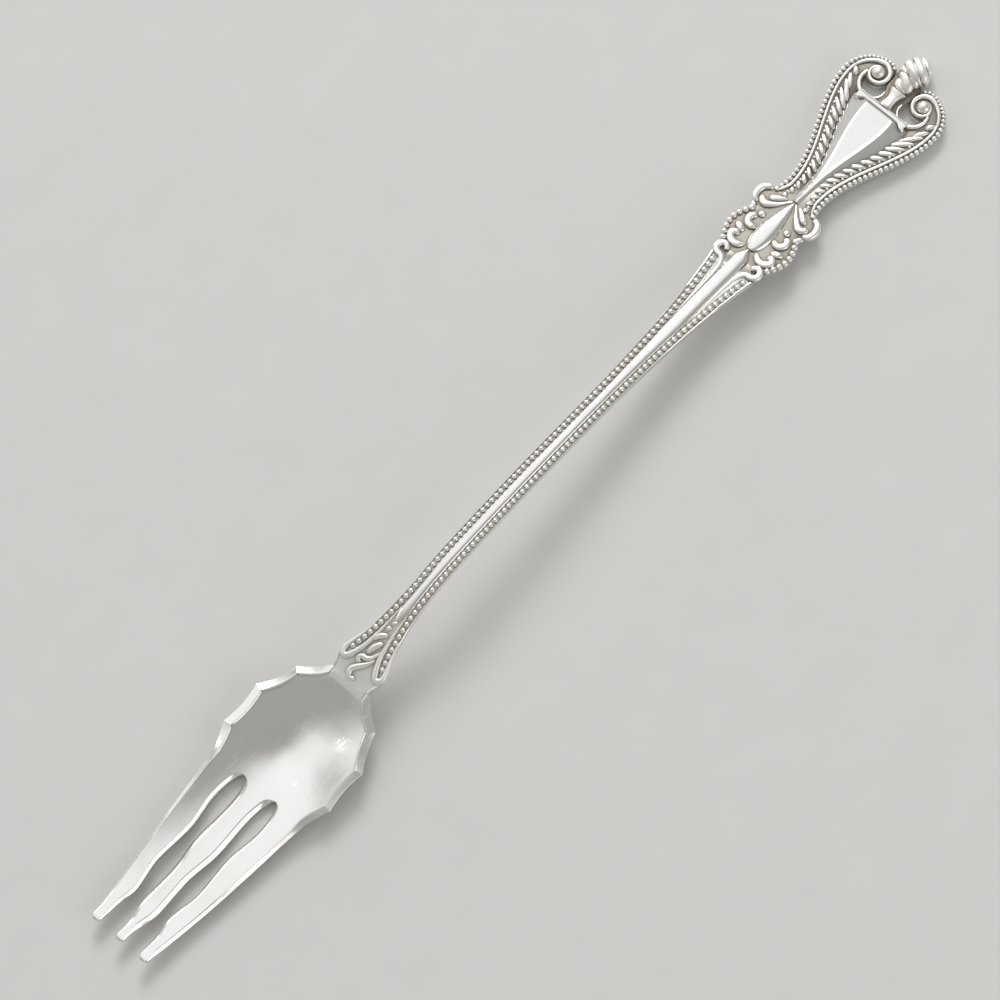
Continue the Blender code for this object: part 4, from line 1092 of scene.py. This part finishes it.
def ribbed_ring(x, half, half_height, middle, depth):
    """Ring of a flat-topped round form with slanting rounded ribs and narrow grooves."""
    ring = []
    for _, across, up in oval_ring(x, -1, 1, -1, 1, 2.6, 108):
        phase = (x - RIB_LEAN * half * across - RIB_START) / RIB_PITCH
        groove = depth * (1 - abs(sin(pi * phase))) ** 2
        ring.append((x, (half - groove) * across, middle + (half_height - groove) * up))
    return ring


def build_finial():
    """Ribbed collar on the yoke, and the twisted flame."""
    rings = []
    for x in steps(COLLAR, FINIAL + 0.1, 0.05):
        t = min(1.0, (x - COLLAR) / (FINIAL - COLLAR))
        half = mix(*COLLAR_HALF, smooth(t)) * max(0.6, rounding(5 * t))
        rings.append(ribbed_ring(x, half, half * COLLAR_FLATNESS, THICKNESS - 0.1, COLLAR_RIB_DEPTH))
    dress("finial_collar", [rings], sharp=70)

    rings = []
    for i in range(121):
        t = (1 - cos(pi * i / 120)) / 2
        if t < FINIAL_SWELL:
            girth = mix(FINIAL_FOOT, 1.0, sin(pi / 2 * t / FINIAL_SWELL))
        else:
            girth = max(0.03, 1 - ((t - FINIAL_SWELL) / (1 - FINIAL_SWELL)) ** 1.8) ** 0.58
        x = mix(FINIAL, LENGTH, t)
        size = (FINIAL_HALF * girth, FINIAL_HALF_HEIGHT * girth)
        rings.append(ribbed_ring(x, *size, FINIAL_HALF_HEIGHT, RIB_DEPTH * min(1.0, girth * 1.2)))
    dress("finial", [rings], sharp=70)


# Materials

PLAIN_SILVER = (0.9, 0.885, 0.85)
# Dark tone of the oxide and painted shade laid into recesses
OXIDE_AND_SHADE = (0.13, 0.11, 0.08)
UPWARD = (0.05, 0.35)
HAZE_TINT = (0.88, 0.82, 0.73)
HAZE_SHARE = 0.35
DULLEST = 1.45
# Run along the stem over which it fades to its end tone, of oxide and painted shade
END_OXIDE_AND_SHADE_RUN = (TIPS.x + (CARTOUCHE - 3.0) * MM, TIPS.x + (CARTOUCHE - 0.6) * MM)
FLOOR_TONES = ((0.71, 0.7, 0.685), (0.75, 0.74, 0.725))


def add(tree, kind, inputs=(), **settings):
    """Add a shader node; each input is linked to another node's output or set to a value."""
    made = tree.nodes.new("ShaderNode" + kind)
    for name, value in settings.items():
        setattr(made, name, value)
    for socket, source in inputs:
        if isinstance(source, bpy.types.NodeSocket):
            tree.links.new(source, made.inputs[socket])
        else:
            made.inputs[socket].default_value = source
    return made


def ramp(tree, source, low, high, start=0.0, end=1.0):
    """Map a value from one range to another, smoothly and clamped."""
    inputs = [("Value", source), ("From Min", low), ("From Max", high), ("To Min", start), ("To Max", end)]
    return add(tree, "MapRange", inputs, interpolation_type="SMOOTHSTEP").outputs["Result"]


def blend(tree, share, under, over):
    """Mix two colours by a share; each one is a plain colour or another node's output."""
    under, over = [(*tone, 1.0) if isinstance(tone, tuple) else tone for tone in (under, over)]
    inputs = [("Factor", share), ("A", under), ("B", over)]
    return add(tree, "Mix", inputs, data_type="RGBA").outputs["Result"]


def new_material(name):
    """A material with its node tree and its shader."""
    material = bpy.data.materials.new(name)
    material.use_nodes = True
    return material, material.node_tree, material.node_tree.nodes["Principled BSDF"]


def noise(tree, coordinates, scale, detail):
    """Cloudy value of one fineness."""
    inputs = [("Vector", coordinates), ("Scale", scale), ("Detail", detail)]
    return add(tree, "TexNoise", inputs).outputs["Fac"]


def scratches(tree, coordinates, turn, fineness):
    """Fine parallel scratches in one direction, as a value that is 1 on a scratch."""
    inputs = [("Vector", coordinates), ("Rotation", (0.0, 0.0, radians(turn))), ("Scale", (0.05, 1.0, 1.0))]
    turned = add(tree, "Mapping", inputs).outputs["Vector"]
    return ramp(tree, noise(tree, turned, fineness, 2.0), 0.62, 0.72)


def wear(tree, shader, coordinates, cloud, roughness, scratch):
    """Scratches, duller clouds and a soft unevenness, in a surface's roughness and normals."""
    first = scratches(tree, coordinates, 9.0, 2600.0)
    second = scratches(tree, coordinates, -38.0, 3300.0)
    worn = add(tree, "Math", [(0, first), (1, second)], operation="MAXIMUM").outputs[0]
    dull = ramp(tree, cloud, 0.3, 0.7, roughness, roughness * DULLEST)
    rough = add(tree, "Math", [(0, worn), (1, scratch), (2, dull)], operation="MULTIPLY_ADD").outputs[0]
    tree.links.new(rough, shader.inputs["Roughness"])
    wave = noise(tree, coordinates, 380.0, 1.0)
    inputs = [("Height", wave), ("Distance", 0.04 * MM), ("Strength", 0.6)]
    uneven = add(tree, "Bump", inputs).outputs["Normal"]
    inputs = [("Height", worn), ("Normal", uneven), ("Distance", 0.004 * MM), ("Strength", 0.5)]
    tree.links.new(add(tree, "Bump", inputs, invert=True).outputs["Normal"], shader.inputs["Normal"])


def silver(name, tone, roughness, open_sky, closed_sky=0.4, oxide_and_shade=0.85, reach=0.6, scratch=0.1, end=()):
    """Silver with faint tarnish clouds, fine scratches, a soft unevenness, and oxide with painted shade in
    its recesses.

    The oxide and painted shade are full where neighbours within reach (mm) leave closed_sky of the sky, and
    none from open_sky up. They fall only on faces that look up, which also take the given tone. The sides
    and the back are plain silver. An end tone of oxide and painted shade takes over at the cartouche.
    """
    material, tree, shader = new_material(name)
    shader.inputs["Metallic"].default_value = 1.0
    coordinates = add(tree, "TexCoord")
    place_on = coordinates.outputs["Object"]
    upright = add(tree, "SeparateXYZ", [("Vector", coordinates.outputs["Normal"])]).outputs["Z"]
    faces_up = ramp(tree, upright, *UPWARD)
    cloud = noise(tree, place_on, 110.0, 4.0)

    warm = tuple(part * tint for part, tint in zip(tone, HAZE_TINT))
    haze = ramp(tree, cloud, 0.45, 0.75, 0.0, HAZE_SHARE)
    ground = blend(tree, haze, blend(tree, faces_up, PLAIN_SILVER, tone), warm)
    if end:
        along = add(tree, "SeparateXYZ", [("Vector", place_on)]).outputs["X"]
        ground = blend(tree, ramp(tree, along, *END_OXIDE_AND_SHADE_RUN), ground, end)
    # Oxide and painted shade: darker where neighbours shut out the sky, on faces that look up only
    shelter = add(tree, "AmbientOcclusion", [("Distance", reach * MM)], samples=12).outputs["AO"]
    recess_oxide_and_shade = ramp(tree, shelter, closed_sky, open_sky, oxide_and_shade, 0.0)
    oxide_and_shade_share = add(tree, "Math", [(0, recess_oxide_and_shade), (1, faces_up)], operation="MULTIPLY").outputs[0]
    tree.links.new(blend(tree, oxide_and_shade_share, ground, OXIDE_AND_SHADE), shader.inputs["Base Color"])
    wear(tree, shader, place_on, cloud, roughness, scratch)
    return material


def pale_floor():
    material, tree, shader = new_material("pale_floor")
    shader.inputs["Roughness"].default_value = 0.9
    shader.inputs["Specular IOR Level"].default_value = 0.2
    grain = add(tree, "TexNoise", [("Scale", 900.0), ("Detail", 3.0)]).outputs["Fac"]
    tree.links.new(blend(tree, grain, *FLOOR_TONES), shader.inputs["Base Color"])
    return material


# Stage: floor, light and camera

FLOOR_SIZE = 6.0
LOOK_AT = Vector((0.0, 0.0, 0.003))
CAMERA_DISTANCE = 0.6087
CAMERA_ELEVATION = 70.73
CAMERA_AZIMUTH = -127.52
CAMERA_ROLL = radians(-11.47)
CAMERA_LENS = 180.0
CAMERA_SHIFT = (-0.0326, -0.0142)
STUDIO_LOW = (0.62, 0.62, 0.61)
STUDIO_HIGH = (0.37, 0.37, 0.36)
LIGHT_TONE = (0.95, 0.96, 0.97)
LIGHT_AIM = (0.22, 0.48, 0.84)
LIGHT_SQUEEZE = (0.7, 1.0, 1.0)
LIGHT_FULL = 0.26
LIGHT_EDGE = 0.63
LAMP_DISTANCE = 1.3


def direction(azimuth, elevation):
    """Unit vector from the fork, by angles in degrees."""
    flat = cos(radians(elevation))
    turn = radians(azimuth)
    return Vector((flat * cos(turn), flat * sin(turn), sin(radians(elevation))))


def build_floor():
    mesh = bmesh.new()
    bmesh.ops.create_grid(mesh, x_segments=2, y_segments=2, size=FLOOR_SIZE / 2)
    data = bpy.data.meshes.new("floor")
    mesh.to_mesh(data)
    mesh.free()
    data.materials.append(pale_floor())
    floor = new_object("floor", data)


def softbox(name, azimuth, elevation, size, radiance):
    """Square area lamp that faces the fork; its power follows from how bright its face looks."""
    data = bpy.data.lights.new(name, "AREA")
    data.shape = "SQUARE"
    data.size = size
    data.energy = radiance * pi * size * size
    lamp = new_object(name, data)
    aim = direction(azimuth, elevation)
    lamp.location = aim * LAMP_DISTANCE
    lamp.rotation_euler = aim.to_track_quat("Z", "Y").to_euler()


def build_studio():
    """Grey surroundings with one long, feathered overhead panel on the left."""
    world = bpy.data.worlds.new("studio")
    world.use_nodes = True
    tree = world.node_tree
    looking = add(tree, "TexCoord").outputs["Generated"]
    height = add(tree, "SeparateXYZ", [("Vector", looking)]).outputs["Z"]
    tone = blend(tree, ramp(tree, height, 0.05, 0.45), STUDIO_LOW, STUDIO_HIGH)
    away = add(tree, "VectorMath", [(0, looking), (1, LIGHT_AIM)], operation="SUBTRACT").outputs[0]
    squeezed = add(tree, "VectorMath", [(0, away), (1, LIGHT_SQUEEZE)], operation="MULTIPLY").outputs[0]
    distance = add(tree, "VectorMath", [(0, squeezed)], operation="LENGTH").outputs["Value"]
    panel = ramp(tree, distance, LIGHT_FULL, LIGHT_EDGE, 1.0, 0.0)
    tree.links.new(blend(tree, panel, tone, LIGHT_TONE), tree.nodes["Background"].inputs["Color"])
    bpy.context.scene.world = world


def build_lamps():
    softbox("key_light", azimuth=40, elevation=38, size=0.5, radiance=8.5)
    softbox("window_light", azimuth=118, elevation=36, size=0.26, radiance=2.6)
    softbox("fill_light", azimuth=-80, elevation=30, size=0.8, radiance=1.3)
    softbox("edge_light", azimuth=80, elevation=11, size=0.42, radiance=1.6)


def build_camera():
    data = bpy.data.cameras.new("camera")
    data.lens = CAMERA_LENS
    data.shift_x, data.shift_y = CAMERA_SHIFT
    camera = new_object("camera", data)
    back = direction(CAMERA_AZIMUTH, CAMERA_ELEVATION)
    turned = back.to_track_quat("Z", "Y").to_matrix() @ Matrix.Rotation(CAMERA_ROLL, 3, "Z")
    camera.matrix_world = Matrix.Translation(LOOK_AT + back * CAMERA_DISTANCE) @ turned.to_4x4()
    bpy.context.scene.camera = camera


# Which silver each piece has, where that isn't its slot's own
SLOTS = {row["node"]: row["material_slot"] for row in frame["record"]["subparts"]}
LOOK_GROUPS = {
    "stem_silver": ["stem"],
    "sunk_silver": ["cartouche", "terminal", "volute_left", "volute_right", "finial_yoke"],
    "rim_silver": ["bowl_rim_left", "bowl_rim_right"],
    "leaf_silver": ["pedestal", "finial_collar", "finial", "neck_loop_left", "neck_loop_right",
                    "neck_leaf_1", "neck_leaf_2", "neck_leaf_3", "neck_leaf_4"],
}
LOOKS = {node: look for look, nodes in LOOK_GROUPS.items() for node in nodes}
# Each silver darkens its recesses with oxide and painted shade, by its own share and reach
SILVERS = {
    "polished_silver": dict(tone=(0.92, 0.91, 0.885), roughness=0.12, open_sky=0.97, reach=1.0,
                            scratch=0.12),
    # Stem plate: a little darker than the polished silver, with oxide and painted shade reaching far round
    # the neck leaves, and an end tone of oxide and painted shade before the cartouche
    "stem_silver": dict(tone=(0.9, 0.88, 0.84), roughness=0.14, open_sky=1.0, closed_sky=0.65, oxide_and_shade=0.64,
                        reach=2.5, scratch=0.12, end=(0.56, 0.53, 0.465)),
    # Leaves, loops, pedestal, collar and finial: a tone a little lighter than the other silvers, a painted
    # highlight, with a real satin roughness
    "leaf_silver": dict(tone=(0.95, 0.93, 0.885), roughness=0.36, open_sky=0.8),
    "struck_silver": dict(tone=(0.93, 0.915, 0.875), roughness=0.29, open_sky=0.8),
    "beaded_silver": dict(tone=(0.93, 0.915, 0.88), roughness=0.29, open_sky=0.7, oxide_and_shade=0.75, reach=0.4),
    "rim_silver": dict(tone=(0.92, 0.91, 0.885), roughness=0.2, open_sky=0.9),
    # Sunk fields: a dark tone on their upward faces, oxide with painted shade, and more of both in their
    # recesses
    "sunk_silver": dict(tone=(0.36, 0.34, 0.295), roughness=0.3, open_sky=1.0, closed_sky=0.66, oxide_and_shade=0.8,
                        reach=1.5),
}
MATERIALS = {name: silver("fine_" + name, **values) for name, values in SILVERS.items()}

build_tines()
build_bowl()
build_rims()
build_stem()
build_stem_panel()
build_stem_beads()
build_neck()
build_stem_scrolls()
build_cartouche()
build_cartouche_boss()
build_cartouche_beads()
build_cartouche_leaves()
build_side_scrolls()
build_terminal()
build_terminal_panel()
build_cross_bar()
build_terminal_borders()
build_husks()
build_volutes()
build_yoke()
build_pedestal()
build_finial()
build_floor()
build_studio()
build_lamps()
build_camera()
bpy.context.scene.view_settings.view_transform = "Standard"
